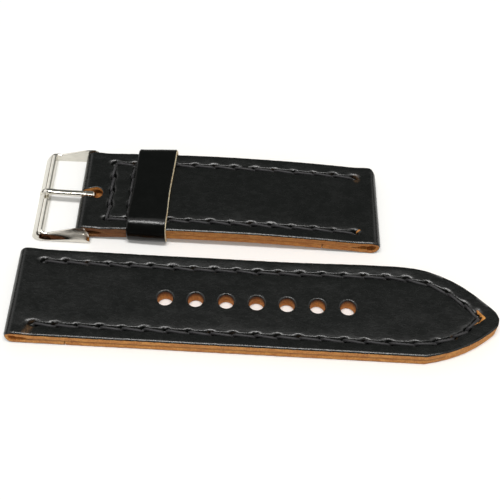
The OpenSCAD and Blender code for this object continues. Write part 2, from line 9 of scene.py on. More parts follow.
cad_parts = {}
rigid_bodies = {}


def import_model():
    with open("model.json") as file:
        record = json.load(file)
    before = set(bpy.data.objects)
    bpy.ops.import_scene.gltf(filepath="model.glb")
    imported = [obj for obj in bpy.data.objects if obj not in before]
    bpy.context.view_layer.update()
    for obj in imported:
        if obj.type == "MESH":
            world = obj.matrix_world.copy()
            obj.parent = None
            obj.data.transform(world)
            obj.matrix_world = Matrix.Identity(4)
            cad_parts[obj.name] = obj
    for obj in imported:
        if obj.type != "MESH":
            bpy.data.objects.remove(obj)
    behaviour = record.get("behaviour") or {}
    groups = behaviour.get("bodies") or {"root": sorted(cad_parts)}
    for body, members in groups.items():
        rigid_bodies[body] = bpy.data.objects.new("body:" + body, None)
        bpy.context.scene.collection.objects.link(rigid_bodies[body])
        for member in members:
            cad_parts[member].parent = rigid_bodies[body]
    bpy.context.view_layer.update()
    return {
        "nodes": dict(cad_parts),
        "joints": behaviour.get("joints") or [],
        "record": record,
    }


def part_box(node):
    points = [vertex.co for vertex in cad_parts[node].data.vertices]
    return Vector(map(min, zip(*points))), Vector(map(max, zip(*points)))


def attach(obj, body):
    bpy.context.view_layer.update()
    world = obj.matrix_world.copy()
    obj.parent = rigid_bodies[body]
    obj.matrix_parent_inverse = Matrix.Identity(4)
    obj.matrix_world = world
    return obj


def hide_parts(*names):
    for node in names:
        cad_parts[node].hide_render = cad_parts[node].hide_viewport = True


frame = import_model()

# Two-piece leather watch strap with a steel pin buckle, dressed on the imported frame.
# Lengths are in millimetres until a mesh is made, and the scene itself is in metres.
MM = 0.001

# Leather, as the frame has it
LAYER_T = 1.9
GLUE_LINE = 0.04
STACK_T = 2 * LAYER_T
FLAP_TOP = LAYER_T - GLUE_LINE
FLAP_JOINT = 0.2
LUG_TUNNEL_R = 1.15
LUG_FOLD_R = 2.1
LUG_FLAP = 14.0
LUG_SLIT = 5.8
BAR_TUNNEL_R = 1.0
BUCKLE_FOLD_R = 2.15
BUCKLE_FLAP = 16.5
BUCKLE_SLIT = 6.8
FOLD_BLEND = 5.0
WEDGE_SHARE = 0.85
WEDGE_BULGE = 0.4
TAPER_LEN = 19.5
TAPER_R = 40.0
TIP_R = 3.4

# Tongue holes and the slot for the tongue
HOLE_R = 1.85
HOLE_PITCH = 7.2
HOLE_COUNT = 7
HOLE_FROM_TIP = 35.5
SLOT_R = 1.7
SLOT_LEN = 5.9
SLOT_LEN_LOW = 4.3
SLOT_WAIST = 0.4
TONGUE_OFF = 0.95

# Stitching
STITCH_INSET = 3.3
STITCH_PITCH = 5.05
STITCH_START = 6.6
THREAD_R = 0.36
CROSS_COUNT = 4
SLIT_TO_ROW = 1.0
AWL_LONG = 1.22
AWL_WIDE = 0.68
AWL_DEEP = 0.95
LIP_DEEP = 0.13
LIP_REACH = 1.55
THREAD_SLANT = -0.3
GROOVE_DEEP = 0.4
GROOVE_HALF = 0.5
PLIES = 3
POINT_STITCH_BACK = 1.6
POINT_STITCH_OFF = 0.45
LAY_TURNS = 0.42

# Keeper
KEEPER_W = 9.8
KEEPER_T = 1.0
KEEPER_YAW = math.radians(-2.2)

# Buckle, in side view about its hinge
BUCKLE_REACH = 13.1
BAR_SLOPE = 1.6
BAR_FLAT = 1.3
BAR_H = 2.6
ARM_H = 4.8
ARM_T = 1.35
ARM_GAP = 0.2
NOTCH_DEEP = 0.3
NOTCH_HALF = 0.95
TONGUE_W = 1.5
TONGUE_SHIFT = 0.08
TONGUE_TURN = 0.025
TONGUE_T = 1.2

# Spacing of the leather's mesh
LINE_STEP = 0.25
ROW_STEP = 0.16
FOLD_STEP = 0.26

rng = np.random.default_rng(24)


def mm(point):
    """A point of the frame in millimetres"""
    return np.array([c / MM for c in point])


def named(things, name):
    """Place of a mount or a joint in millimetres"""
    return mm(next(t for t in things if t["name"] == name)["pos_m"])


LONG_LOW, LONG_HIGH = (mm(c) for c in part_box("long_outer_leather"))
SHORT_LOW, SHORT_HIGH = (mm(c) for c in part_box("short_outer_leather"))
LONG_MID = (LONG_LOW[1] + LONG_HIGH[1]) / 2
SHORT_MID = (SHORT_LOW[1] + SHORT_HIGH[1]) / 2
HALF_W = (LONG_HIGH[1] - LONG_LOW[1]) / 2
LONG_LUG_X, TIP_X = LONG_LOW[0], LONG_HIGH[0]
HINGE = named(frame["joints"], "buckle_hinge")
ARCH = named(frame["joints"], "keeper_slide")
LUG_TUNNEL = named(frame["record"]["mounts"], "lug_tunnel_short")
BOW_R = math.hypot(*(LUG_TUNNEL - ARCH)[[0, 2]]) - LUG_FOLD_R


def bow(points):
    """Points of the flat short half, bent to its arch"""
    p = np.asarray(points, float)
    a = (p[..., 0] - ARCH[0]) / BOW_R
    r = BOW_R + p[..., 2]
    return np.stack([ARCH[0] + r * np.sin(a), p[..., 1], ARCH[2] + r * np.cos(a)], -1)


def unbow(point):
    """Place along the flat short half of a point of the arched one"""
    dx, _, dz = point - ARCH
    return ARCH[0] + BOW_R * math.atan2(dx, dz)


SHORT_LUG_X = unbow(LUG_TUNNEL) + LUG_FOLD_R
FOLD_X = unbow(HINGE) - BUCKLE_FOLD_R
KEEPER_X = unbow(sum(mm(c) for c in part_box("keeper_band")) / 2)
ROW_Y = HALF_W - STITCH_INSET


def smooth(a, b, x):
    """0 below a, 1 above b, and an even curve between"""
    t = np.clip((np.asarray(x, float) - a) / (b - a), 0, 1)
    return t * t * (3 - 2 * t)


def ripple(x, y, waves):
    """An uneven surface: a sum of waves, each given by its length, direction, phase and height"""
    total = np.zeros(np.broadcast(x, y).shape)
    for length, turn, phase, height in waves:
        along = x * math.cos(turn) + y * math.sin(turn)
        total = total + height * np.sin(2 * math.pi * along / length + phase)
    return total


def waves(count, shortest, longest, height, seed):
    """Seeded waves for ripple()"""
    draw = np.random.default_rng(seed)
    lengths = draw.uniform(shortest, longest, count)
    turns = draw.uniform(0, math.pi, count)
    phases = draw.uniform(0, 2 * math.pi, count)
    heights = height * draw.uniform(0.5, 1, count) / count
    return list(zip(lengths, turns, phases, heights))


# Outline of the tip: a long arc on each side, tangent to the small arc of the point
TAPER_X = TIP_X - TAPER_LEN
POINT_X = TIP_X - TIP_R


def taper_centre():
    p, q = np.array([TAPER_X, HALF_W]), np.array([POINT_X, 0.0])
    rp, rq = TAPER_R, TAPER_R - TIP_R
    d = np.linalg.norm(q - p)
    along = (rp**2 - rq**2 + d**2) / (2 * d)
    side = math.sqrt(rp**2 - along**2)
    u = (q - p) / d
    return p + along * u + side * np.array([u[1], -u[0]])


TAPER_C = taper_centre()
TAPER_A0 = math.atan2(HALF_W - TAPER_C[1], TAPER_X - TAPER_C[0])
TAPER_A1 = math.atan2(-TAPER_C[1], POINT_X - TAPER_C[0])


def swelling(p, fold_r):
    """Height of the top beside a fold, at distance p behind its axis"""
    bump = 0.5 + 0.5 * np.cos(np.pi * np.clip(p / FOLD_BLEND, 0, 1))
    return STACK_T + (2 * fold_r - STACK_T) * bump


def fold_lines(fold_r, tunnel_r, slit, flap):
    """Lines of a folded end as rows of outer p, z and inner p, z, from the end of its flap below to the
    end of its swelling above. p is the distance behind the fold's axis."""
    slit_p, flap_p = slit - fold_r, flap - fold_r
    reach = np.array([slit_p, FLAP_TOP + GLUE_LINE / 2 - fold_r])
    across = np.array([-reach[1], reach[0]]) / np.linalg.norm(reach)
    quarter = math.pi / 2

    def leaves(sign):
        """Where the wedge's side leaves the round tunnel: p, z and the angle"""
        base = sign * WEDGE_SHARE * tunnel_r * across
        step = reach - base
        b, c = base @ step, base @ base - tunnel_r**2
        p, z = base + step * (-b + math.sqrt(b * b - (step @ step) * c)) / (step @ step)
        return p, z, math.atan2(z, p)

    def wedge(p, start_p, start_z, sign):
        """Height of the wedge's side"""
        t = (p - start_p) / (slit_p - start_p)
        return fold_r + start_z + t * (reach[1] - start_z) + sign * 4 * WEDGE_BULGE * t * (1 - t)

    def turned(a, r=tunnel_r):
        return r * math.cos(a), fold_r + r * math.sin(a)

    def spread(a, b, step=LINE_STEP):
        return np.linspace(a, b, max(2, int(abs(b - a) / step) + 2))[:-1]

    low_p, low_z, low_a = leaves(-1)
    high_p, high_z, high_a = leaves(1)
    rows = [(p, 0, p, FLAP_TOP) for p in spread(flap_p, slit_p)]
    rows += [(p, 0, p, wedge(p, low_p, low_z, -1)) for p in spread(slit_p, low_p)]
    rows += [(p, 0, *turned(low_a - (quarter + low_a) * (1 - p / low_p))) for p in spread(low_p, 0)]
    rows += [(*turned(a, fold_r), *turned(a)) for a in spread(-quarter, -3 * quarter, FOLD_STEP / fold_r)]
    for p in spread(0, high_p):
        rows.append((p, swelling(p, fold_r), *turned(quarter + (high_a - quarter) * p / high_p)))
    for p in spread(high_p, slit_p):
        rows.append((p, swelling(p, fold_r), p, wedge(p, high_p, high_z, 1)))
    for p in spread(slit_p, FOLD_BLEND):
        rows.append((p, swelling(p, fold_r), p, LAYER_T))
    return np.array(rows)


def fold_at(axis_x, side, *sizes):
    """A fold in its place: from its flap to its top at the low-X end, where side is 1, and from its top
    to its flap at the high-X end, where side is -1"""
    return fold_lines(*sizes)[::side] * [side, 1, side, 1] + [axis_x, 0, axis_x, 0]


def run_lines(x0, x1, outer_z, inner_z, stops=()):
    """Straight lines from x0 to x1 that also hit each stop, without x1 itself"""
    marks = [x0, *sorted(s for s in stops if x0 < s < x1), x1]
    xs = np.concatenate([
        np.linspace(a, b, max(2, round(abs(b - a) / LINE_STEP) + 1))[:-1]
        for a, b in zip(marks, marks[1:])
    ])
    return np.stack([xs, np.full_like(xs, outer_z), xs, np.full_like(xs, inner_z)], -1)


def around(ids):
    """Faces between each closed ring of point numbers and the next ring"""
    after = np.roll(ids, -1, axis=1)
    return np.stack([ids[:-1], ids[1:], after[1:], after[:-1]], -1).swapaxes(0, 1).reshape(-1, 4)


def capped(ids):
    """Faces of a row of rings, closed at both ends"""
    return [*around(ids).tolist(), ids[0].tolist(), ids[-1].tolist()]


def looped(ids):
    """Faces of a row of rings whose last one meets the first"""
    return around(np.vstack([ids, ids[:1]])).tolist()


# Rim of a cut edge: inset from the edge and depth below the surface, then shares of what is left
RIM = [(0.55, 0.0), (0.47, 0.012), (0.13, 0.13), (0.04, 0.21), (0.0, 0.36)]
FAR_RIM = [(0.2, 0.0), (0.15, 0.02), (0.06, 0.1), (0.02, 0.2), (0.0, 0.36)]
SIDE_SHARES = [0.2, 0.4, 0.6, 0.8, 0.96]
FOOT_INSET = 0.05
SIDE_WAVE = 0.024
EDGE_ZONE = 0.5

# Loops round a hole: shares of the way in from the border of its block, and of the way down its wall
MOUTH_SHARES = (0.35, 0.65, 0.88)
MOUTH_GROW = 0.3
WALL_SHARES = (0.35, 0.55, 0.75, 0.95, 1.0)
HAIR = 1e-6

# Rims of a punched hole and of a cut slot: distance from the wall, depth, and depth of the cut
PRESSED_RIM = [(0.5, 0.0, 0.0), (0.4, 0.02, 0.0), (0.14, 0.13, 0.0), (0.05, 0.22, 0.1), (0.0, 0.36, 0.36)]
SHARP_RIM = [(0.5, 0.0, 0.0), (0.3, 0.0, 0.0), (0.1, 0.02, 0.0), (0.03, 0.08, 0.1), (0.0, 0.2, 0.36)]


class Sheet:
    """A sheet of leather: lines across it one after another, each a ring of points round its section.
    relief gives the depth of its surface, plan the places of a line's points seen from above, end_round
    how far an end's corners are drawn in, and shade_and_burnish how dark its cuts are: painted shade in the
    tunnels and the slot, on edges and at the foot, and darker glue lines."""

    def __init__(self, lines, rows, relief, shade_and_burnish, plan=None, end_round=None):
        self.lines, self.relief, self.shade_and_burnish = lines, relief, shade_and_burnish
        self.plan = plan or (lambda k, v: (np.full_like(v, np.nan), v))
        self.end_round = end_round or (lambda x: 0 * x)
        step = np.linalg.norm(np.diff(lines[:, :2], axis=0), axis=1)
        self.s = np.concatenate([[0], np.cumsum(step)])
        self.verts, self.cut, self.faces, self.count = [], [], [], 0
        self.make_rings(*rows)

    def place(self, s, v, depth=0.0, share=0.0):
        """Points at s along the sheet and v across it, a depth or a share of the thickness below its
        surface, and how deep that share is"""
        ox, oz, ix, iz = (np.interp(s, self.s, self.lines[:, c]) for c in range(4))
        thick = np.hypot(ix - ox, iz - oz)
        f = depth / thick + share
        return np.stack([ox + (ix - ox) * f, v, oz + (iz - oz) * f], -1), thick * share

    def add(self, points, cut):
        """Adds points with the depth of their cut, and returns their numbers"""
        first = self.count
        self.verts.append(points)
        self.cut.append(np.broadcast_to(cut, (len(points),)).astype(float))
        self.count += len(points)
        return np.arange(first, self.count)

    def make_rings(self, rows, inner_rows):
        """The rings. A point of the section has a kind, a v, an inset, a fixed depth and its share of the
        thickness below that. Kind 0 is the surface, 1 the near or far side and 2 the inner face."""
        near = [(k, -v, i, d, s) for k, v, i, d, s in reversed(self.edge(RIM))]
        surface = [(0, v, 0.0, 0.0, 0.0) for v in rows]
        inner = [(2, v, 0.0, 0.0, 1.0) for v in inner_rows[::-1]]
        kinds, vs, insets, fixed, share = np.array(near + surface + self.edge(FAR_RIM) + inner).T
        lines = self.lines
        thick = np.hypot(lines[:, 2] - lines[:, 0], lines[:, 3] - lines[:, 1])
        top, side = kinds == 0, (kinds < 2) & (np.abs(vs) > HALF_W - HAIR)
        points, cuts = [], []
        for k, (ox, oz, ix, iz) in enumerate(lines):
            depth = fixed + share * (thick[k] - fixed)
            px, py = self.plan(k, vs)
            f = depth / thick[k]
            x = np.where(np.isnan(px), ox + (ix - ox) * f, px)
            z = oz + (iz - oz) * f
            wave = np.maximum(SIDE_WAVE * (1 + ripple(x, 3 * depth, SIDE_WAVES)), 0)
            drawn = insets + self.end_round(ox) + np.where(side, wave, 0)
            y = py - np.sign(vs) * drawn * (np.abs(vs) > HALF_W - EDGE_ZONE)
            f = self.relief(x, y, np.full_like(x, oz)) / thick[k]
            x = np.where(top & np.isnan(px), ox + (ix - ox) * f, x)
            points.append(np.stack([x, y, np.where(top, oz + (iz - oz) * f, z)], -1))
            cuts.append(np.where(top, 0, depth))
        self.kinds, self.section_v = kinds, vs
        self.ids = self.add(np.concatenate(points), np.concatenate(cuts)).reshape(len(lines), -1)
        self.skip = np.zeros((len(lines) - 1, len(vs)), bool)

    def edge(self, rim):
        """The far edge's part of the section: its rim, its side and its foot"""
        points = [(0 if d == 0 else 1, HALF_W, i, d, 0.0) for i, d in rim]
        points += [(1, HALF_W, 0.0, rim[-1][1], s) for s in SIDE_SHARES]
        return points + [(1, HALF_W, FOOT_INSET, 0.0, 1.0)]

    def cap(self, k):
        """Closes the end at line k"""
        self.faces.append(self.ids[k].tolist())

    def line_number(self, s):
        return int(np.argmin(np.abs(self.s - s)))

    def pierce(self, hole, block, press, narrow=lambda s: 0 * s + 1):
        """Cuts a hole. hole is its straight stretch s0 to s1, its middle v and its radius; block is the
        part of the sheet redrawn round it, as line numbers and v; press gives the rim's depth, and narrow
        the share of the radius along the stretch."""
        (k0, k1), (v0, v1) = block
        s0, s1, vc, radius = hole
        border = []
        for kind in (0, 2):
            inside = (self.kinds == kind) & (self.section_v > v0 - HAIR) & (self.section_v < v1 + HAIR)
            rows = sorted(np.flatnonzero(inside), key=lambda r: self.section_v[r])
            self.skip[k0:k1, min(rows):max(rows)] = True
            loop = [(k, rows[0]) for k in range(k0, k1)] + [(k1, r) for r in rows[:-1]]
            loop += [(k, rows[-1]) for k in range(k1, k0, -1)] + [(k0, r) for r in rows[:0:-1]]
            border.append(np.array([self.ids[k, r] for k, r in loop]))
            corners = np.array([(self.s[k], self.section_v[r]) for k, r in loop])
        near = np.stack([np.clip(corners[:, 0], s0, s1), np.full(len(corners), vc)], -1)
        away = corners - near
        unit = away / np.linalg.norm(away, axis=1, keepdims=True)
        wide = radius * narrow(near[:, 0])[:, None]

        def ring(share, grow, depth, cut):
            s, v = (corners + (near + unit * (wide + grow) - corners) * share).T
            flat, _ = self.place(s, v)
            return self.add(self.place(s, v, self.relief(*flat.T) + depth)[0], cut)

        loops = [border[0]]
        loops += [ring(share, MOUTH_GROW, 0.0, 0.0) for share in MOUTH_SHARES]
        loops += [ring(1.0, *rim) for rim in press]
        loops += [self.add(*self.place(*(near + unit * wide).T, share=share)) for share in WALL_SHARES]
        self.faces += around(np.array([*loops, border[1]])).tolist()

    def object(self, name, shape, mid):
        self.faces += around(self.ids)[~self.skip.T.ravel()].tolist()
        points = np.concatenate(self.verts)
        x, y, z = points.T
        cut = np.maximum(np.concatenate(self.cut), self.relief.torn(x, y, z))
        marks = {"cut": cut, "shade_and_burnish": self.shade_and_burnish(x, y, cut), "worn": self.relief.worn(x, y, z)}
        return mesh_object(name, shape(points + [0, mid, 0]), self.faces, marks)


# Points of a mesh closer than this are one, and edges shorter than that go, in metres
WELD = 1e-7
SLIVER = 1e-8


def mesh_object(name, points, faces, attributes=None, sharp=0.75):
    """A mesh from points in millimetres, cleaned and smooth, with sharp edges where it turns steeply"""
    mesh = bpy.data.meshes.new(name)
    mesh.from_pydata((np.asarray(points) * MM).tolist(), [], faces)
    for key, values in (attributes or {}).items():
        layer = mesh.attributes.new(key, "FLOAT", "POINT")
        layer.data.foreach_set("value", np.asarray(values, np.float32))
    bm = bmesh.new()
    bm.from_mesh(mesh)
    bmesh.ops.remove_doubles(bm, verts=bm.verts, dist=WELD)
    bmesh.ops.dissolve_degenerate(bm, edges=bm.edges, dist=SLIVER)
    bmesh.ops.delete(bm, geom=[v for v in bm.verts if not v.link_faces], context="VERTS")
    bmesh.ops.recalc_face_normals(bm, faces=bm.faces)
    for face in bm.faces:
        face.smooth = True
    for edge in bm.edges:
        if len(edge.link_faces) == 2:
            edge.smooth = edge.calc_face_angle() < sharp
    bm.to_mesh(mesh)
    bm.free()
    thing = bpy.data.objects.new(name, mesh)
    bpy.context.scene.collection.objects.link(thing)
    return thing


def coat(thing, material):
    thing.data.materials.clear()
    thing.data.materials.append(material)


# Stitch places, in the flat frame of each half
def long_stitches():
    row_r = TAPER_R - STITCH_INSET
    a0 = math.asin((ROW_Y - TAPER_C[1]) / row_r)
    a1 = math.asin(-TAPER_C[1] / row_r)
    first = LONG_LUG_X + STITCH_START
    straight = TAPER_C[0] + row_r * math.cos(a0) - first
    curved = row_r * (a0 - a1)
    count = round((straight + curved) / STITCH_PITCH)
    pitch = (straight + curved) / count
    side = []
    for i in range(count + 1):
        s = i * pitch
        if s < straight:
            side.append((first + s, ROW_Y))
        else:
            a = a0 - (s - straight) / row_r
            side.append((TAPER_C[0] + row_r * math.cos(a), TAPER_C[1] + row_r * math.sin(a)))
    return np.array(side)


def short_stitch_rows():
    """Places along one edge, and the X of the two rows across the buckle end"""
    first = SHORT_LUG_X - STITCH_START
    front = FOLD_X + BUCKLE_SLIT + SLIT_TO_ROW
    count = round((first - front) / STITCH_PITCH)
    pitch = (first - front) / count
    return np.array([first - i * pitch for i in range(count + 1)]), front, front + pitch


LONG_ROW = long_stitches()
SHORT_ROW, CROSS_FRONT, CROSS_REAR = short_stitch_rows()
CROSS_YS = ROW_Y - 2 * ROW_Y / CROSS_COUNT * np.arange(1, CROSS_COUNT)


# How far a hole strays along and across its row and in its turn, and how its gape and its rubbing vary
STRAY = (0.1, 0.07, 0.16)
GAPES = (0.85, 1.18)
RUBBING = (-1.0, 0.8)
WIDE_GAPE = 1.25
END_GAPE = 1.1
POINT_NEXT_BACK = 0.64


class Stitch:
    """One hole of the stitching: its place, the direction of its row and how wide it gapes"""

    def __init__(self, x, y, turn, gape=1.0):
        self.x, self.y, self.turn = (c + rng.uniform(-far, far) for c, far in zip((x, y, turn), STRAY))
        self.gape = gape * rng.uniform(*GAPES)
        self.worn = max(0.0, rng.uniform(*RUBBING)) if abs(math.cos(turn)) > 0.5 else 0.0


def row_holes(places):
    """The holes of a row, each turned along it"""
    dx, dy = np.gradient(places, axis=0).T
    return [Stitch(x, y, turn) for (x, y), turn in zip(places, np.arctan2(dy, dx))]


def long_holes():
    """Holes of the far and near edge. Those at the point sit a little back, where the rows meet."""
    far, near = row_holes(LONG_ROW), row_holes(LONG_ROW[:-1] * [1, -1])
    far[-1].y, far[-1].turn, far[-1].gape = POINT_STITCH_OFF, math.pi / 2, WIDE_GAPE
    near[0].gape, far[0].gape = WIDE_GAPE, END_GAPE
    near[0].worn = far[-1].worn = 1.0
    far[-1].x -= POINT_STITCH_BACK
    far[-2].x -= POINT_NEXT_BACK
    near[-1].x -= POINT_NEXT_BACK
    return far, near


def short_holes():
    far = [Stitch(x, ROW_Y, 0.0) for x in SHORT_ROW]
    near = [Stitch(x, -ROW_Y, 0.0) for x in SHORT_ROW]
    front = [Stitch(CROSS_FRONT, y, math.pi / 2) for y in CROSS_YS]
    rear = [Stitch(CROSS_REAR, y, math.pi / 2) for y in CROSS_YS]
    return far, near, front, rear


LONG_FAR, LONG_NEAR = long_holes()
SHORT_FAR, SHORT_NEAR, SHORT_FRONT, SHORT_REAR = short_holes()

TOP_WAVES = waves(9, 5.0, 22.0, 0.16, 3)
FINE_WAVES = waves(10, 1.3, 3.2, 0.02, 5)
SIDE_WAVES = waves(8, 0.9, 4.5, 4.0, 7)

# Depths and reaches of the surface's forms, beside those of the stitching
TOP_FROM_Z = 3.0
UNDER_TO_Z = 0.2
HOLE_WALL = (0.5, 0.98)
GROOVE_FLOOR = 0.15
TROUGH_DEEP = 0.09
TROUGH_REACH = 1.2
CALM_STRIP = (0.3, 2.6)
WAVES_BELOW = 0.07
RUBBED_RING = (0.3, 0.75)
RUBBED_LONG = 1.5
STROKE_CORE = 0.3


def strokes(x, y, lines):
    """How strongly some strokes touch each point. A stroke goes from x0, y0 to x1, y1, and has a reach
    and a strength."""
    touched = np.zeros_like(x)
    for x0, y0, x1, y1, reach, strength in lines:
        dx, dy = x1 - x0, y1 - y0
        along = np.clip(((x - x0) * dx + (y - y0) * dy) / (dx * dx + dy * dy), 0, 1)
        away = np.hypot(x - x0 - along * dx, y - y0 - along * dy)
        touched = np.maximum(touched, strength * (1 - smooth(STROKE_CORE * reach, reach, away)))
    return touched


class Relief:
    """The surface round the stitching: its depth at awl holes with puckered rims, at the groove below
    each thread and at gentle waves, and where its black is rubbed off or torn open"""

    def __init__(self, holes, bars, scars=(), rubs=()):
        self.holes, self.scars, self.rubs = holes, scars, rubs
        self.places = np.array([(h.x, h.y, h.turn, h.gape) for h in holes]).T
        self.ends = np.array([(a.x, a.y, b.x, b.y) for a, b in bars]).T

    def __call__(self, x, y, z):
        hx, hy, turn, gape = self.places
        dx, dy = x[:, None] - hx, y[:, None] - hy
        along = dx * np.cos(turn) + dy * np.sin(turn)
        across = dy * np.cos(turn) - dx * np.sin(turn)
        e = np.hypot(along / (AWL_LONG * gape), across / (AWL_WIDE * gape))
        hole = AWL_DEEP * (1 - smooth(*HOLE_WALL, e)) + LIP_DEEP * (1 - smooth(1.0, LIP_REACH, e))
        ax, ay, bx, by = self.ends
        sx, sy = bx - ax, by - ay
        dx, dy = x[:, None] - ax, y[:, None] - ay
        t = np.clip((dx * sx + dy * sy) / (sx**2 + sy**2), 0, 1)
        gap = np.hypot(dx - t * sx, dy - t * sy).min(axis=1)
        groove = GROOVE_DEEP * (1 - smooth(GROOVE_FLOOR, GROOVE_HALF, gap))
        trough = TROUGH_DEEP * np.exp(-((gap / TROUGH_REACH) ** 2))
        dips = np.maximum(hole.max(axis=1), groove) + trough
        wavy = WAVES_BELOW + ripple(x, y, TOP_WAVES) + ripple(x, y, FINE_WAVES)
        wavy = np.maximum(wavy * smooth(*CALM_STRIP, HALF_W - np.abs(y)), 0)
        top = z > TOP_FROM_Z
        return np.where(top | (z < UNDER_TO_Z), dips, 0) + np.where(top, wavy, 0)

    def worn(self, x, y, z):
        """How far the black has rubbed off, round each hole and along the strokes"""
        rubbed = strokes(x, y, self.rubs)
        for h in self.holes:
            away = np.hypot((x - h.x) / RUBBED_LONG, y - h.y)
            rubbed = np.maximum(rubbed, h.worn * (1 - smooth(*RUBBED_RING, away)))
        return np.where(z > TOP_FROM_Z, rubbed, 0)

    def torn(self, x, y, z):
        """How deep the painted face is torn open"""
        return np.where(z > TOP_FROM_Z, strokes(x, y, self.scars), 0)


def bars_between(*rows):
    """The threads of some rows: each hole with the next"""
    return [(a, b) for row in rows for a, b in zip(row, row[1:])]


CROSS_END_IN = 1.2
CROSS_END_GAPE = 0.6
LONG_BARS = bars_between(LONG_FAR + LONG_NEAR[::-1])
SHORT_BARS = bars_between(SHORT_FAR + SHORT_FRONT + SHORT_NEAR[::-1])
CROSS_ENDS = [
    Stitch(CROSS_REAR, side * (ROW_Y - CROSS_END_IN), math.pi / 2, CROSS_END_GAPE) for side in (1, -1)
]
CROSS_BARS = bars_between([CROSS_ENDS[0], *SHORT_REAR, CROSS_ENDS[1]])

# Rows of the mesh, from the edge inward: its own band, then the band of the stitches
EDGE_BAND = 0.8
STITCH_BAND = 5.6
INSETS = [EDGE_BAND, 1.15, 1.5, 1.85, *np.arange(2.1, 4.7, ROW_STEP), 5.0, STITCH_BAND]
INNER_ROW = 8.0
ROW_STEP_WIDE = 0.8
ROW_STEP_LEFT = 0.3


def banded_rows(step, low, high, cells):
    """Rows across the surface and across the inner face: dense at the stitches, and in cells from low to
    high in the middle"""
    edge = [HALF_W - i for i in INSETS]
    mid = list(np.linspace(low, high, cells + 1))
    right = list(np.arange(high + step, edge[-1] - ROW_STEP_LEFT * step, step))
    left = list(np.arange(low - step, -edge[-1] + ROW_STEP_LEFT * step, -step))
    rows = sorted([-h for h in edge] + left + mid + right + edge)
    return rows, sorted([-HALF_W + EDGE_BAND, -INNER_ROW, *mid, INNER_ROW, HALF_W - EDGE_BAND])


HOLE_BLOCK = 2.6
HOLE_XS = [TIP_X - HOLE_FROM_TIP - i * HOLE_PITCH for i in range(HOLE_COUNT)]
LEAN_FROM = TAPER_X - 10
CORNER_MID = TAPER_X - 1.6
LEAN_LINES, ARC_LINES, POINT_LINES = 40, 78, 13


def long_plan_lines(outer_z, inner_z):
    """Lines of the tip, and their edge, middle and kind"""
    lean = np.linspace(LEAN_FROM, TAPER_X, LEAN_LINES + 1)[:-1]
    arc = np.linspace(TAPER_A0, TAPER_A1, ARC_LINES + 1)[:-1]
    tip = np.linspace(TAPER_A1, 0, POINT_LINES)
    edge = [(x, HALF_W) for x in lean]
    edge += [(TAPER_C[0] + TAPER_R * math.cos(a), TAPER_C[1] + TAPER_R * math.sin(a)) for a in arc]
    edge += [(POINT_X + TIP_R * math.cos(a), TIP_R * math.sin(a)) for a in tip]
    mids = list(LEAN_FROM + (CORNER_MID - LEAN_FROM) * (lean - LEAN_FROM) / (TAPER_X - LEAN_FROM))
    mids += list(np.linspace(CORNER_MID, POINT_X, ARC_LINES + 1)[:-1]) + [POINT_X] * POINT_LINES
    kinds = ["lean"] * LEAN_LINES + ["arc"] * ARC_LINES + ["tip"] * POINT_LINES
    z = np.array([(m, outer_z, m, inner_z) for m in mids])
    return z, list(zip(edge, mids, kinds))


def long_plan(first, tip_lines):
    """Places of the points across each line of the tip, at their insets from the outline"""

    def plan(k, v):
        if k < first:
            return np.full_like(v, np.nan), v
        (ex, ey), mid, kind = tip_lines[k - first]
        inset = HALF_W - np.abs(v)
        deep = {"lean": HALF_W, "arc": TAPER_R - math.hypot(mid - TAPER_C[0], TAPER_C[1]), "tip": TIP_R}[kind]
        squeeze = min(1.0, (0.8 * deep - EDGE_BAND) / (STITCH_BAND - EDGE_BAND))
        banded = np.where(inset < EDGE_BAND, inset, EDGE_BAND + (inset - EDGE_BAND) * squeeze)
        reach = EDGE_BAND + (STITCH_BAND - EDGE_BAND) * squeeze
        inner = reach + (inset - STITCH_BAND) / (HALF_W - STITCH_BAND) * (deep - reach)
        inset = np.where(inset < STITCH_BAND, banded, inner)
        step = np.array([mid - ex, -ey])
        if kind == "arc":
            from_c = np.array([ex, ey]) - TAPER_C
            a, b = step @ step, step @ from_c
            c = from_c @ from_c - (TAPER_R - inset) ** 2
            t = (-b - np.sqrt(np.maximum(b * b - a * c, 0))) / a
        else:
            t = inset / deep
        t = np.clip(t, 0, 1)
        return ex + step[0] * t, np.sign(v) * (ey + step[1] * t)

    return plan


LUG_DRAW = 0.35
BUCKLE_DRAW = 0.25


def fold_draw(x, axis_x, radius, inset):
    """How far the corners of a fold are drawn in, seen from above. At the low-X end its radius is given
    as negative."""
    return inset * np.clip((x - axis_x) / radius, 0, 1) ** 3


TIP_LEAN = 1.15
TIP_LEAN_SPAN = (34.0, TIP_X - 1.5)
NEAR_CORNER_ON = 1.9
NEAR_CORNER_FROM = 26.0
FAR_EDGE_OUT = 0.45
FAR_EDGE_SPAN = (5.0, 28.0)
FAR_EDGE_END = 48.0
FAR_SIDE = 1.5
CORNER_OFF = 0.25
CORNER_OFF_REACH = 2.2


def lean_tip(points):
    """The tip as it was cut by hand: its point leans to the near side, the near corner sits further on,
    and the far corner is a little out and rounder"""
    p = np.array(points)
    x = p[:, 0].copy()
    v = np.clip((p[:, 1] - LONG_MID) / HALF_W, -1, 1)
    far, near = np.clip(FAR_SIDE * v, 0, 1), np.clip(-v, 0, 1)
    p[:, 1] -= TIP_LEAN * smooth(*TIP_LEAN_SPAN, x) * np.where(v > 0, 1 - v, 1 - v**4)
    p[:, 1] += FAR_EDGE_OUT * smooth(*FAR_EDGE_SPAN, x) * (1 - smooth(FAR_EDGE_END, TIP_X, x)) * far
    p[:, 1] -= CORNER_OFF * np.exp(-((x - TAPER_X) / CORNER_OFF_REACH) ** 2) * far
    onward = smooth(NEAR_CORNER_FROM, TAPER_X, x) * (1 - smooth(TAPER_X + 2, TIP_X, x))
    p[:, 0] += NEAR_CORNER_ON * onward * near
    return p


LUG_TURN = 0.43
LUG_TURN_MID = -0.4
LUG_TURN_REACH = 3.4
LUG_CORNER_OFF = 0.9
LUG_LIFT = 0.06


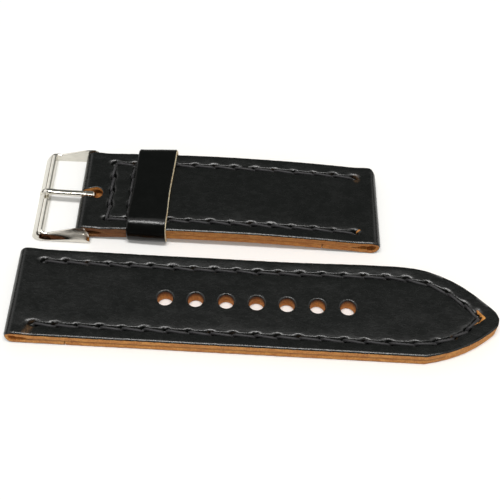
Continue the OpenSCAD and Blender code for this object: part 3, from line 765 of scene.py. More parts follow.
def turn_lug(points):
    """The lug end of the buckle half, cut a little out of square, with a round far corner"""
    p = np.array(points)
    v = np.clip((p[:, 1] - SHORT_MID) / HALF_W, -1, 1)
    end = smooth(SHORT_LUG_X - LUG_TURN_REACH, SHORT_LUG_X, p[:, 0])
    p[:, 0] -= LUG_TURN * (v - LUG_TURN_MID) * end
    p[:, 1] -= LUG_CORNER_OFF * end**2 * smooth(0.5, 1.0, v)
    p[:, 2] += LUG_LIFT * end
    return bow(p)


def stroke_at(stitch, x0, y0, x1, y1, reach, strength):
    """A stroke given from a hole"""
    return stitch.x + x0, stitch.y + y0, stitch.x + x1, stitch.y + y1, reach, strength


# Where the face is torn open or rubbed: at the point, and at the first holes by the lug ends
LONG_SCARS = [
    stroke_at(LONG_FAR[-1], 1.35, -0.1, -0.05, 1.5, 0.32, 0.7),
    stroke_at(LONG_FAR[-1], 1.35, -0.1, -1.65, -2.3, 0.36, 0.7),
]
LONG_RUBS = [stroke_at(LONG_NEAR[0], -0.2, 0.0, -1.6, -HALF_W - LONG_NEAR[0].y, 1.2, 0.65)]
SHORT_SCARS = [stroke_at(SHORT_NEAR[0], 0.1, -0.1, 1.3, 0.7, 0.34, 0.5)]
SHORT_RUBS = [stroke_at(SHORT_FAR[0], 0.6, 0.2, 0.8, -0.8, 1.1, 0.6)]

# How dark cuts are, as painted shade (tunnels, slot, far edge, edge by the buckle, lining's foot) or as
# darker glue lines and punched walls: the share, and where it begins and is full, along the strap or in the
# cut's depth
# Painted shade inside the lug tunnels and the slot
TUNNEL_SHADE = (0.95, 1.7, 1.85)
SLOT_SHADE = (0.95, 1.0, 1.7)
# Painted shade on the long half's far edge, growing towards its lug end
FAR_EDGE_SHADE = (0.9, -10.0, -22.0)
SEAM_DARK = (0.5, 1.3, 1.85)
PUNCHED_DARK = (0.9, 1.8, 0.6)
# Painted shade on the buckle half's edge, towards the buckle and keeper
BUCKLE_END_SHADE = (0.75, -24.0, -32.0)
EDGE_LIGHTEST = 0.18
# Painted contact shadow along the lining's foot
FOOT_SHADOW = (0.85, 0.5, 0.15)
GLUE_DARK = (0.45, 1.4, 1.8)
FAR_FADE = 5
SLOT_ZONE = 4
SIDE_ZONE = 1.5


def dark(kind, x, zone=True):
    share, start, full = kind
    return share * smooth(start, full, x) * zone


def long_shade_and_burnish(x, v, cut):
    """Painted shade on the far edge towards the lugs and inside the lug tunnel; the glue line and the punched
    walls near their top are darker too
    """
    by_holes = (np.abs(v) < HOLE_BLOCK) & (x < HOLE_XS[0] + HOLE_BLOCK)
    return np.maximum.reduce([
        dark(FAR_EDGE_SHADE, x, smooth(0, FAR_FADE, v)),
        dark(SEAM_DARK, cut, np.abs(v) > HALF_W - SIDE_ZONE),
        dark(PUNCHED_DARK, cut, by_holes),
        dark(TUNNEL_SHADE, cut, x < LONG_LUG_X + LUG_SLIT + 1),
    ])


def short_shade_and_burnish(x, v, cut):
    """Painted shade: the edge darkens towards the buckle, and the slot's walls and the tunnels are dark
    inside
    """
    edge = np.maximum(EDGE_LIGHTEST, dark(BUCKLE_END_SHADE, x)) * (np.abs(v) > SLOT_ZONE)
    slot = dark(SLOT_SHADE, cut, np.abs(v) < SLOT_ZONE)
    return np.maximum.reduce([edge, slot, dark(TUNNEL_SHADE, cut, x > SHORT_LUG_X - LUG_SLIT - 1)])


def foot_shadow_and_glue(x, v, cut):
    """The lining's edge has a painted contact shadow where it meets what it lies on, and is darker at the
    glue line
    """
    return np.maximum(dark(FOOT_SHADOW, cut), dark(GLUE_DARK, cut)) * (np.abs(v) > HALF_W - SIDE_ZONE)


def short_foot(x, v, cut):
    # Painted contact shadow and glue line of the lining, with the buckle half's painted shade towards the
    # buckle
    return np.maximum(foot_shadow_and_glue(x, v, cut), short_shade_and_burnish(x, v, 0 * cut))


HOLE_ROWS = (ROW_STEP_WIDE, -HOLE_BLOCK, HOLE_BLOCK, 8)
HOLE_STOPS = [x + d for x in HOLE_XS for d in (-HOLE_BLOCK, HOLE_BLOCK)]


def long_sheet(name, fold, x0, levels, marks, shade_and_burnish, end_round=None):
    """A layer of the punched half: the lines of its fold, the straight part from x0, and the tip"""
    top = run_lines(x0, LEAN_FROM, *levels, HOLE_STOPS)
    tip, tip_lines = long_plan_lines(*levels)
    relief = Relief(LONG_FAR + LONG_NEAR, LONG_BARS, *marks)
    plan = long_plan(len(fold) + len(top), tip_lines)
    lines = np.concatenate([fold, top, tip])
    sheet = Sheet(lines, banded_rows(*HOLE_ROWS), relief, shade_and_burnish, plan, end_round)
    for x in HOLE_XS:
        at = sheet.s[len(fold)] + x - x0
        block = (sheet.line_number(at - HOLE_BLOCK), sheet.line_number(at + HOLE_BLOCK))
        sheet.pierce((at, at, 0.0, HOLE_R), (block, (-HOLE_BLOCK, HOLE_BLOCK)), PRESSED_RIM)
    sheet.cap(0)
    return sheet.object(name, lean_tip, LONG_MID)


def long_outer():
    axis_x = LONG_LUG_X + LUG_FOLD_R
    return long_sheet(
        "long_top_leather", fold_at(axis_x, 1, LUG_FOLD_R, LUG_TUNNEL_R, LUG_SLIT, LUG_FLAP),
        axis_x + FOLD_BLEND, (STACK_T, LAYER_T), (LONG_SCARS, LONG_RUBS), long_shade_and_burnish,
        lambda x: fold_draw(x, axis_x, -LUG_FOLD_R, LUG_DRAW),
    )


def long_lining():
    x0 = LONG_LUG_X + LUG_FLAP + FLAP_JOINT
    return long_sheet("long_lining", np.zeros((0, 4)), x0, (0.0, FLAP_TOP), (), foot_shadow_and_glue)


SLOT_BLOCK = 2.4
SLOT_CELLS = 24
SLOT_ROW_STEP = 0.2
SLOT_MARGIN = 1.0
SLOT_NARROWS = (-0.4, 2.6)


def short_outer():
    bar_x, lug_x = FOLD_X + BUCKLE_FOLD_R, SHORT_LUG_X - LUG_FOLD_R
    buckle_end = fold_at(bar_x, 1, BUCKLE_FOLD_R, BAR_TUNNEL_R, BUCKLE_SLIT, BUCKLE_FLAP)
    lug_end = fold_at(lug_x, -1, LUG_FOLD_R, LUG_TUNNEL_R, LUG_SLIT, LUG_FLAP)
    top = run_lines(bar_x + FOLD_BLEND, lug_x - FOLD_BLEND, STACK_T, LAYER_T)
    sides = (-TONGUE_OFF - SLOT_BLOCK, -TONGUE_OFF + SLOT_BLOCK)

    def corners(x):
        lug = fold_draw(x, lug_x, LUG_FOLD_R, LUG_DRAW)
        return lug + fold_draw(x, bar_x, -BUCKLE_FOLD_R, BUCKLE_DRAW)

    holes = SHORT_FAR + SHORT_NEAR + SHORT_FRONT + SHORT_REAR
    sheet = Sheet(
        np.concatenate([buckle_end, top, lug_end]), banded_rows(SLOT_ROW_STEP, *sides, SLOT_CELLS),
        Relief(holes, SHORT_BARS + CROSS_BARS, SHORT_SCARS, SHORT_RUBS), short_shade_and_burnish,
        end_round=corners,
    )
    # The slot runs from the flap below, round the fold, to the same place above
    below = sheet.s[np.flatnonzero(buckle_end[:, 0] < FOLD_X + SLOT_LEN_LOW)[0]]
    above = sheet.s[np.flatnonzero(buckle_end[:, 0] < FOLD_X + SLOT_LEN)[-1]]
    ends = (sheet.line_number(below - SLOT_MARGIN), sheet.line_number(above + SLOT_MARGIN))

    def narrow(s):
        return 1 - SLOT_WAIST * smooth(*SLOT_NARROWS, above - SLOT_R - s)

    sheet.pierce((below + SLOT_R, above - SLOT_R, -TONGUE_OFF, SLOT_R), (ends, sides), SHARP_RIM, narrow)
    sheet.cap(0)
    sheet.cap(-1)
    return sheet.object("short_top_leather", turn_lug, SHORT_MID)


def short_lining():
    x0 = FOLD_X + BUCKLE_FLAP + FLAP_JOINT
    x1 = SHORT_LUG_X - LUG_FLAP - FLAP_JOINT
    lines = np.concatenate([run_lines(x0, x1, 0.0, FLAP_TOP), [[x1, 0.0, x1, FLAP_TOP]]])
    relief = Relief(SHORT_FAR + SHORT_NEAR, SHORT_BARS)
    sheet = Sheet(lines, banded_rows(*HOLE_ROWS), relief, short_foot)
    sheet.cap(0)
    sheet.cap(-1)
    return sheet.object("short_lining", bow, SHORT_MID)


def curve_through(points, count):
    """Even points along a smooth curve through the given ones"""
    p = np.asarray(points, float)
    p = np.concatenate([[2 * p[0] - p[1]], p, [2 * p[-1] - p[-2]]])
    out = []
    spans = len(p) - 3
    for i in range(spans):
        a, b, c, d = p[i:i + 4]
        for t in np.linspace(0, 1, max(2, count // spans + 1))[:-1]:
            out.append(0.5 * (2 * b + (c - a) * t + (2 * a - 5 * b + 4 * c - d) * t**2
                              + (3 * b - a - 3 * c + d) * t**3))
    out.append(p[-2])
    return np.array(out)


PLY_DEPTH = 0.13


def cord_tube(path, radius, phase, turns=LAY_TURNS, sides=12):
    """A twisted cord of three plies along a path: its points and faces"""
    d = np.gradient(path, axis=0)
    d /= np.linalg.norm(d, axis=1, keepdims=True)
    run = np.concatenate([[0], np.cumsum(np.linalg.norm(np.diff(path, axis=0), axis=1))])
    side = np.cross(d[0], [0.3, 0.9, 0.2])
    points = []
    angles = np.arange(sides) * 2 * math.pi / sides
    for i, p in enumerate(path):
        side = side - (side @ d[i]) * d[i]
        side /= np.linalg.norm(side)
        other = np.cross(d[i], side)
        lay = 2 * math.pi * turns * run[i] + phase
        r = radius * (1 - PLY_DEPTH + PLY_DEPTH * np.cos(PLIES * (angles - lay)))
        points.append(p + r[:, None] * (np.cos(angles)[:, None] * side + np.sin(angles)[:, None] * other))
    return np.concatenate(points), capped(np.arange(len(path) * sides).reshape(-1, sides))


# How a stitch dips at both ends, as distance from its hole, height and share of its sideways shift
STITCH_ENDS = [(0.1, -1.2, 0.0), (0.25, -0.7, 0.2), (0.75, -0.2, 0.7)]
STITCH_FLAT = 0.35
STITCH_SUNK = 0.05
STITCH_POINTS = 28
SLACKS = (-0.03, 0.05)
SLANT_STRAY = 0.14
FULL_TURN = 6.28
THREAD_IN = 0.08
EDGE_SHIFT = 0.24
CROSS_SHIFT = 0.08


def thread_bar(a, b, height, up, lateral):
    """Path of one stitch from hole to hole, on the surface at a height, with up as its outward side"""
    p, q = np.array([a.x, a.y]), np.array([b.x, b.y])
    length = np.linalg.norm(q - p)
    along = (q - p) / length
    side = np.array([-along[1], along[0]])
    slack = rng.uniform(*SLACKS)
    slant = THREAD_SLANT + rng.uniform(-SLANT_STRAY, SLANT_STRAY)
    marks = [*STITCH_ENDS, (STITCH_FLAT * length, slack - STITCH_SUNK, 1.0)]
    marks += [(length - s, h, share) for s, h, share in reversed(marks)]
    out = []
    for s, h, share in marks:
        shift = lateral * share + slant * (2 * s / length - 1)
        out.append((*(p + along * s + side * shift), height + up * h))
    return curve_through(out, STITCH_POINTS)


def thread_object(name, bars, shape, mid):
    """All the stitches of one thread, above and below the leather"""
    points, faces, count = [], [], 0
    for a, b in bars:
        along_x = b.x - a.x
        toward_near = -math.copysign(EDGE_SHIFT, along_x) if abs(along_x) >= 1 else CROSS_SHIFT
        for height, up in ((STACK_T, 1), (0.0, -1)):
            path = thread_bar(a, b, height - up * THREAD_IN, up, toward_near)
            if up < 0:
                path[:, 2] = np.maximum(path[:, 2], THREAD_R + 0.02)
            tube, quads = cord_tube(path, THREAD_R, rng.uniform(0, FULL_TURN))
            points.append(tube)
            faces += [[i + count for i in f] for f in quads]
            count += len(tube)
    return mesh_object(name, shape(np.concatenate(points) + [0, mid, 0]), faces, sharp=3.0)


def arc_points(cy, cz, r, a0, a1, n):
    a = np.radians(np.linspace(a0, a1, n + 1))
    return np.stack([cy + r * np.cos(a), cz + r * np.sin(a)], -1)


KEEPER_NEAR, KEEPER_FAR, KEEPER_LOW, KEEPER_TOP = -12.3, 12.3, -0.12, 4.2
KEEPER_RN, KEEPER_RF, KEEPER_RL = 1.75, 1.039, 0.585
# Outside, the near bend and the lower ones are rounder than the leather's thickness alone makes them
KEEPER_ROUND_OUT = 1.3
KEEPER_ROUND_LOW = 0.7
KEEPER_SHIFT = 0.17
KEEPER_SHEAR = 0.055


def keeper_outline(grow):
    """Section of the keeper round the strap, grown by a distance, from the seam below and back to it"""
    y0, y1 = KEEPER_NEAR - grow, KEEPER_FAR + grow
    z0, z1 = KEEPER_LOW - grow, KEEPER_TOP + grow
    rn = KEEPER_RN + grow * (1 + KEEPER_ROUND_OUT)
    rf, rl = KEEPER_RF + grow, KEEPER_RL + grow * (1 + KEEPER_ROUND_LOW)

    def straight(p, q, n):
        return np.array([p + (q - p) * t for t in np.linspace(0, 1, n + 1)[1:-1]])

    corners = [
        arc_points(y1 - rl, z0 + rl, rl, 270, 360, 8),
        arc_points(y1 - rf, z1 - rf, rf, 0, 90, 12),
        arc_points(y0 + rn, z1 - rn, rn, 90, 180, 16),
        arc_points(y0 + rl, z0 + rl, rl, 180, 270, 8),
    ]
    spans = [4, 40, 4, 20]
    out = [np.array([[0.0, z0]]), straight(np.array([0.0, z0]), corners[0][0], 20)]
    for i, corner in enumerate(corners):
        out.append(corner)
        following = corners[i + 1][0] if i < 3 else np.array([0.0, z0])
        out.append(straight(corner[-1], following, spans[i]))
    return np.concatenate([o for o in out if len(o)])


KEEPER_RIM = [(0.42, 0.0), (0.32, 0.02), (0.1, 0.2), (0.02, 0.3), (0.0, 0.42), (0.0, 0.6), (0.0, 0.8)]
KEEPER_SKIRT = 0.04
KEEPER_DIP = 0.03
KEEPER_CREAM = 0.3
KEEPER_SWAYS = [(0.07, 7.0, 0.6), (0.04, 2.9, 0.0)]
KEEPER_TOP_IN, KEEPER_UNDER_IN = 0.8, 1.0


def keeper():
    """The keeper: a strip of leather closed into a loop. Its edge towards the lugs is cut to the core, whose
    pale cream is partly a painted highlight.
    """
    outer, inner = keeper_outline(KEEPER_T), keeper_outline(0.0)
    half = KEEPER_W / 2
    edge = [(half - i, d) for i, d in KEEPER_RIM] + [(half - KEEPER_SKIRT, KEEPER_T)]
    middle = [(x, 0.0) for x in np.linspace(-half + KEEPER_TOP_IN, half - KEEPER_TOP_IN, 19)]
    under = [(x, KEEPER_T) for x in np.linspace(half - KEEPER_UNDER_IN, -half + KEEPER_UNDER_IN, 7)]
    x, d = np.array([(-x, d) for x, d in edge[::-1]] + middle + edge + under).T
    length = np.concatenate([[0], np.cumsum(np.linalg.norm(np.diff(outer, axis=0), axis=1))])[:, None]
    sway = sum(height * np.sin(length / wave + phase) for height, wave, phase in KEEPER_SWAYS)
    dip = KEEPER_DIP * (1 + np.sin(0.9 * length + 0.5 * x)) * (np.abs(x) < half - 0.5) * (d == 0)
    y, z = np.moveaxis(outer[:, None] + (inner - outer)[:, None] * ((d + dip) / KEEPER_T)[..., None], -1, 0)
    y = y + KEEPER_SHIFT + KEEPER_SHEAR * x * smooth(-8, 12, y)
    grid = np.stack([x + sway * x / half - np.abs(sway) * np.sign(x), y, z], -1)
    cut = np.broadcast_to(d + (x > half - KEEPER_CREAM) * (d > 0.01), y.shape)
    turn = (KEEPER_X - ARCH[0]) / BOW_R
    place = Matrix.Translation(Vector(bow(np.array([KEEPER_X, SHORT_MID, 0.0]))))
    place = place @ Matrix.Rotation(turn, 4, "Y") @ Matrix.Rotation(KEEPER_YAW, 4, "Z")
    points = np.array([place @ Vector(p) for p in grid.reshape(-1, 3)])
    faces = looped(np.arange(cut.size).reshape(cut.shape))
    return mesh_object("keeper_loop", points, faces, {"cut": cut.ravel()})


BAR_EDGE = BAR_SLOPE - BUCKLE_REACH
BAR_BACK = BAR_EDGE + BAR_FLAT
ARM_IN = HALF_W + ARM_GAP

# The frame is a loft of rings along a U: near heel, near arm, front bar, far arm, far heel
CORNER_R = 0.5
CORNER_POWER = 2.6
BAR_EDGE_R = 0.25
BAR_CHAMFER = [(0.42, 0.03), (1.08, 0.195), (1.16, 0.225), (1.22, 0.262), (1.42, 0.40), (1.5, 0.5)]
BAR_SHARES = (0.74, 0.55, 0.3, 0.12)
ARM_EDGE_R = 0.12
ARM_BEAD = 0.6
ARM_LEANS = [(2.2, 0.78), (4.8, 1.05)]
ARM_SIDE = [(0.0, 0.0), (0.12, 0.255), (0.6, 0.71), (1.0, 1.0)]
ARM_ROOF = math.radians(18)
ARM_TOPS = [
    (BAR_BACK, BAR_H), (BAR_BACK + 0.6, BAR_H - 0.3), (BAR_BACK + 1.2, BAR_H - 0.45),
    (-7.6, 2.72), (-5.6, 3.4), (-3.7, 4.15), (-2.2, 4.6), (-0.9, 4.78), (-0.1, ARM_H),
    (0.5, 4.55), (0.9, 3.95), (1.2, 3.15), (1.42, 2.3), (1.6, 1.3),
]
ARM_BLUR = (-0.3, -0.15, 0.0, 0.15, 0.3)
ARM_BLUR_END = 0.4
ARM_FOOT = [(0.0, 0.45), (0.04, 0.2), (0.13, 0.06), (0.3, 0.0)]
HEEL_FEET = [(1.1, 0.0), (1.3, 0.06), (1.45, 0.25), (1.55, 0.6), (1.6, 1.0)]
HEEL_NARROWS = [(1.2, 1.0), (1.45, 0.93), (1.56, 0.8), (1.6, 0.65)]
HEEL_XS = (0.8, 1.0, 1.15, 1.3, 1.4, 1.5, 1.56, 1.6)


def pick(pairs, x):
    """Value at x of a line through pairs"""
    return float(np.interp(x, [p[0] for p in pairs], [p[1] for p in pairs]))


def bar_levels(h):
    """Section of the front bar at height h: distance outward from its inner face, and height"""
    width = BAR_FLAT + BAR_SLOPE
    levels = [(0.0, 0.0), (0.0, 0.5 * h)]
    for a in np.radians([0, 30, 60, 90]):
        levels.append((BAR_EDGE_R * (1 - math.cos(a)), h - BAR_EDGE_R * (1 - math.sin(a))))
    levels += [(BAR_EDGE_R + 0.04, h)]
    levels += [(u, h - drop) for u, drop in BAR_CHAMFER]
    levels += [(width - BAR_SLOPE * share, share * h) for share in BAR_SHARES]
    return levels + [(width - 0.05, 0.05 * h), (width - 0.08, 0.03), (width - 0.15, 0.0)]


def arm_levels(h):
    """Section of an arm at height h: an upright bead, a side that leans in above it, and a low roof"""
    small = min(1.0, h / 1.6)
    over = max(0.01, h - ARM_BEAD)
    lean = min(0.6 * over, pick(ARM_LEANS, h))

    def side(z):
        return ARM_T - lean * pick(ARM_SIDE, (z - ARM_BEAD) / over)

    top, r = side(h), ARM_EDGE_R * small
    eaves = h - 0.5 * top * math.tan(ARM_ROOF)
    levels = [(0.0, 0.0), (0.0, 0.5 * h)]
    for a in np.radians([0, 30, 55, 72]):
        levels.append((r * (1 - math.cos(a)), eaves - r * (1 - math.sin(a))))
    levels += [(0.5 * top - 0.04, h), (0.5 * top + 0.04, h)]
    for a in np.radians([18, 35, 55, 75, 90]):
        levels.append((top - r * (1 - math.sin(a)), eaves - r * (1 - math.cos(a))))
    for share, _ in ARM_SIDE[2::-1]:
        z = ARM_BEAD + share * over
        levels.append((side(z), z * small))
    return levels + [(ARM_T - inset, z * small) for inset, z in ARM_FOOT]


def bar_height(y):
    """Height of the front bar, which has a notch for the tongue"""
    off = abs(y + TONGUE_OFF)
    return BAR_H - NOTCH_DEEP * (1 - float(smooth(NOTCH_HALF, NOTCH_HALF + 0.25, off)))


def arm_height(x):
    """Height of an arm, evened out before its heel"""
    blur = ARM_BLUR if x < ARM_BLUR_END else [0.0]
    return float(np.mean([pick(ARM_TOPS, x + d) for d in blur]))


def corner_ring(a, start):
    """The ring at an angle of the bend between the front bar and an arm"""
    c, s, blend = math.cos(a), math.sin(a), float(smooth(0, 1, a / (math.pi / 2)))
    ring = []
    for (ub, zb), (ua, za) in zip(bar_levels(BAR_H), arm_levels(arm_height(start))):
        along, across = c / (ub + CORNER_R), s / (ua + CORNER_R)
        r = (along**CORNER_POWER + across**CORNER_POWER) ** (-1 / CORNER_POWER)
        ring.append((start - r * c, r * s - CORNER_R, zb + (za - zb) * blend))
    return ring


def frame_rings():
    """Rings of the frame about the hinge, in order"""
    start = BAR_BACK + CORNER_R
    arm = []
    for x in (*np.linspace(start, 0.6, 34), *HEEL_XS):
        foot, narrow = pick(HEEL_FEET, x), pick(HEEL_NARROWS, x)
        levels = arm_levels(arm_height(x) - foot)
        arm.append([(x, ARM_T / 2 + (u - ARM_T / 2) * narrow, foot + z) for u, z in levels])
    half = arm[::-1] + [corner_ring(a, start) for a in np.radians(np.linspace(90, 0, 13)[1:-1])]
    ends = ARM_IN - CORNER_R
    marks = [-ends, *np.linspace(-8, -3, 6), *np.linspace(-2.4, 0.6, 25), *np.linspace(1.2, 8, 6), ends]
    near = [[(x, -ARM_IN - u, z) for x, u, z in ring] for ring in half]
    far = [[(x, ARM_IN + u, z) for x, u, z in ring] for ring in half[::-1]]
    bar = [[(BAR_BACK - u, y, z) for u, z in bar_levels(bar_height(y))] for y in marks]
    return np.array(near + bar + far)


def buckle_frame():
    """Front bar and two arms, as one loft"""
    rings = frame_rings()
    faces = capped(np.arange(rings.shape[0] * rings.shape[1]).reshape(rings.shape[:2]))
    points = rings.reshape(-1, 3) + [HINGE[0], SHORT_MID, 0.0]
    return mesh_object("buckle_frame_polished", points, faces, sharp=0.9)


# The tongue's shank about the hinge: x, and how far its lower face stands off the level on which it
# rests, and its upper face off that level and its thickness
SHANK_ROOT = -0.9
SHANK_LOW = [
    (BAR_BACK + 4.6, 0.35), (BAR_BACK + 2.2, 0.3), (BAR_BACK - 0.2, 0.5),
    (BAR_EDGE - 0.3, 0.3), (BAR_EDGE - 0.8, -0.45), (BAR_EDGE - 1.1, -0.35),
]
SHANK_HIGH = [
    (BAR_BACK + 4.6, 0.42), (BAR_BACK + 2.2, 0.4), (BAR_BACK - 0.2, 0.6),
    (BAR_EDGE + 0.1, 0.35), (BAR_EDGE - 0.5, -0.1), (BAR_EDGE - 1.1, -0.9),
]
SHANK_WIDTHS = [(-12.4, 0.72), (-11.4, 0.86), (-9.0, 0.98), (-3.0, 1.0)]
SHANK_BEND_XS = (-9.4, -9.8, -10.2, -10.6, -10.9, -11.2, -11.5, -11.75, -11.95, -12.15)
SHANK_SIDES = 16
SHANK_POWER = 0.72
EYE_R = 1.7
EYE_BORE = 0.95
EYE_SIDES = 48
EYE_POWER = 3.2
EYE_FLAT = 0.95


def buckle_tongue():
    """The tongue: a tapering shank that bends down at its point, and an eye round the tube"""
    low = BAR_H - NOTCH_DEEP + 0.05 - HINGE[2]
    under = [(x, low + z) for x, z in SHANK_LOW[::-1]] + [(SHANK_ROOT, 0.1)]
    over = [(x, low + TONGUE_T + z) for x, z in SHANK_HIGH[::-1]] + [(SHANK_ROOT, 1.6)]
    half = TONGUE_W / 2
    a = 2 * math.pi * (np.arange(SHANK_SIDES) + 0.5) / SHANK_SIDES
    c, s = (np.copysign(np.abs(w) ** SHANK_POWER, w) for w in (np.cos(a), np.sin(a)))
    shank = []
    xs = (SHANK_ROOT, *np.linspace(-1.6, -8.8, 10), *SHANK_BEND_XS, BAR_EDGE - 0.8, BAR_EDGE - 1.0)
    for x in xs:
        z0, z1 = pick(under, x), pick(over, x)
        y = half * pick(SHANK_WIDTHS, x) * c
        shank.append(np.stack([np.full_like(y, x), y, z0 + (0.5 + 0.5 * s) * (z1 - z0)], -1))
    faces = capped(np.arange(len(xs) * SHANK_SIDES).reshape(-1, SHANK_SIDES))
    # The eye is a ring of its own, run into the shank, and squared off where the steel is folded
    side = [(-half, EYE_BORE), (-half, 1.52), (-half + 0.06, 1.64), (-half + 0.18, EYE_R)]
    y, r = np.array(side + [(-y, r) for y, r in side[::-1]]).T
    a = 2 * math.pi * np.arange(EYE_SIDES)[:, None] / EYE_SIDES
    square = (np.abs(np.cos(a)) ** EYE_POWER + np.abs(np.sin(a)) ** EYE_POWER) ** (-1 / EYE_POWER)
    r = np.where(r < 1, r, r * square)
    eye = np.stack([r * np.cos(a), y + 0 * r, EYE_FLAT * r * np.sin(a)], -1)
    faces += looped(len(xs) * SHANK_SIDES + np.arange(r.size).reshape(r.shape))
    points = np.concatenate([*shank, eye.reshape(-1, 3)])
    points[:, 1] += TONGUE_SHIFT - TONGUE_TURN * np.minimum(points[:, 0], 0)
    points += [HINGE[0], SHORT_MID - TONGUE_OFF, HINGE[2]]
    return mesh_object("buckle_tongue_polished", points, faces, sharp=1.0)


class Nodes:
    """Short forms for building a node tree"""

    def __init__(self, tree):
        self.tree = tree
        tree.nodes.clear()

    def add(self, kind, inputs=None, **settings):
        """A node with its settings, and its inputs fed"""
        node = self.tree.nodes.new(kind)
        for key, value in settings.items():
            setattr(node, key, value)
        for key, value in (inputs or {}).items():
            self.feed(node.inputs[key], value)
        return node

    def feed(self, socket, value):
        """A socket takes a number, a colour or another node's output"""
        if isinstance(value, bpy.types.NodeSocket):
            self.tree.links.new(value, socket)
        else:
            socket.default_value = value

    def stretched(self, scale):
        """Object coordinates in millimetres, stretched"""
        coords = self.add("ShaderNodeTexCoord").outputs["Object"]
        inputs = {"Vector": coords, "Scale": [s / MM for s in scale]}
        return self.add("ShaderNodeMapping", inputs).outputs["Vector"]

    def noise(self, scale, detail=3.0, rough=0.5, distort=0.0):
        inputs = {"Vector": self.stretched(scale), "Scale": 1.0}
        inputs |= {"Detail": detail, "Roughness": rough, "Distortion": distort}
        return self.add("ShaderNodeTexNoise", inputs).outputs["Fac"]

    def cells(self, scale):
        inputs = {"Vector": self.stretched(scale), "Scale": 1.0}
        return self.add("ShaderNodeTexVoronoi", inputs, feature="SMOOTH_F1").outputs["Distance"]

    def math(self, operation, a, b=0.0):
        return self.add("ShaderNodeMath", {0: a, 1: b}, operation=operation).outputs[0]

    def times(self, a, b):
        return self.math("MULTIPLY", a, b)

    def span(self, value, low, high, to_low=0.0, to_high=1.0):
        """0 at low and 1 at high, or two other values, with an even curve between"""
        inputs = {"Value": value, "From Min": low, "From Max": high, "To Min": to_low, "To Max": to_high}
        return self.add("ShaderNodeMapRange", inputs, interpolation_type="SMOOTHSTEP").outputs["Result"]

    def ramp(self, value, *stops):
        node = self.add("ShaderNodeValToRGB", {"Fac": value})
        elements = node.color_ramp.elements
        while len(elements) < len(stops):
            elements.new(0.5)
        for element, (place, colour) in zip(elements, stops):
            element.position = place
            element.color = (*colour, 1.0)
        return node.outputs["Color"]

    def mix(self, factor, a, b):
        """Mixes two colours"""
        a, b = ((*c, 1.0) if isinstance(c, tuple) else c for c in (a, b))
        return self.add("ShaderNodeMix", {0: factor, 6: a, 7: b}, data_type="RGBA").outputs[2]

    def attribute(self, name):
        return self.add("ShaderNodeAttribute", attribute_name=name).outputs["Fac"]

    def bump(self, height, distance, strength=1.0, under=None):
        inputs = {"Strength": strength, "Distance": distance * MM, "Height": height}
        if under is not None:
            inputs["Normal"] = under
        return self.add("ShaderNodeBump", inputs).outputs["Normal"]


class Surface(Nodes):
    """A material"""

    def __init__(self, name):
        self.material = bpy.data.materials.new(name)
        self.material.use_nodes = True
        super().__init__(self.material.node_tree)
        self.shader = self.add("ShaderNodeBsdfPrincipled")
        self.add("ShaderNodeOutputMaterial", {"Surface": self.shader.outputs["BSDF"]})

    def set(self, **values):
        for key, value in values.items():
            self.feed(self.shader.inputs[key.replace("_", " ")], value)


# Colours along a ramp
STRAP_BLACK = [(0.3, (0.0030, 0.0036, 0.0033)), (0.7, (0.0052, 0.0058, 0.0054))]
KEEPER_BLACK = [(0.3, (0.0018, 0.0021, 0.0019)), (0.7, (0.0032, 0.0036, 0.0033))]
# Pale core of the keeper's cut edge: partly its own cream, partly a painted highlight along that edge
CREAM = [(0.3, (0.42, 0.24, 0.10)), (0.6, (0.90, 0.82, 0.58))]
FINE_TAN = [(0.28, (0.26, 0.075, 0.014)), (0.5, (0.62, 0.25, 0.055)), (0.72, (0.85, 0.46, 0.13))]
BROAD_TAN = [(0.35, (0.42, 0.13, 0.025)), (0.65, (0.80, 0.38, 0.09))]
SMOOTH_TAN = [(0.3, (0.36, 0.15, 0.045)), (0.7, (0.50, 0.24, 0.08))]
THREAD_BLACK = [(0.3, (0.006, 0.006, 0.007)), (0.75, (0.032, 0.030, 0.033))]
STEEL = [(0.3, (0.69, 0.665, 0.60)), (0.7, (0.79, 0.765, 0.70))]
# Dark brown of the painted shade on cut edges and in recesses, and of the darker glue lines
SHADE_AND_BURNISH_BROWN = (0.07, 0.016, 0.006)
RUBBED = (0.14, 0.072, 0.028)
RAGGED = 0.16
RAW_ROUGH = 0.8


def tan_colour(n):
    """Cut leather: mottled tan with short upright fibres, darkened by painted shade and darker glue lines"""
    fibres = n.noise((5.0, 1.2, 1.6), 4.0, 0.65, 0.6)
    patches = n.noise((0.45, 0.4, 0.9), 2.0, 0.6)
    tan = n.mix(0.45, n.ramp(fibres, *FINE_TAN), n.ramp(patches, *BROAD_TAN))
    # Painted shade and darker glue lines are mixed into the tan here
    return n.mix(n.attribute("shade_and_burnish"), tan, SHADE_AND_BURNISH_BROWN), fibres


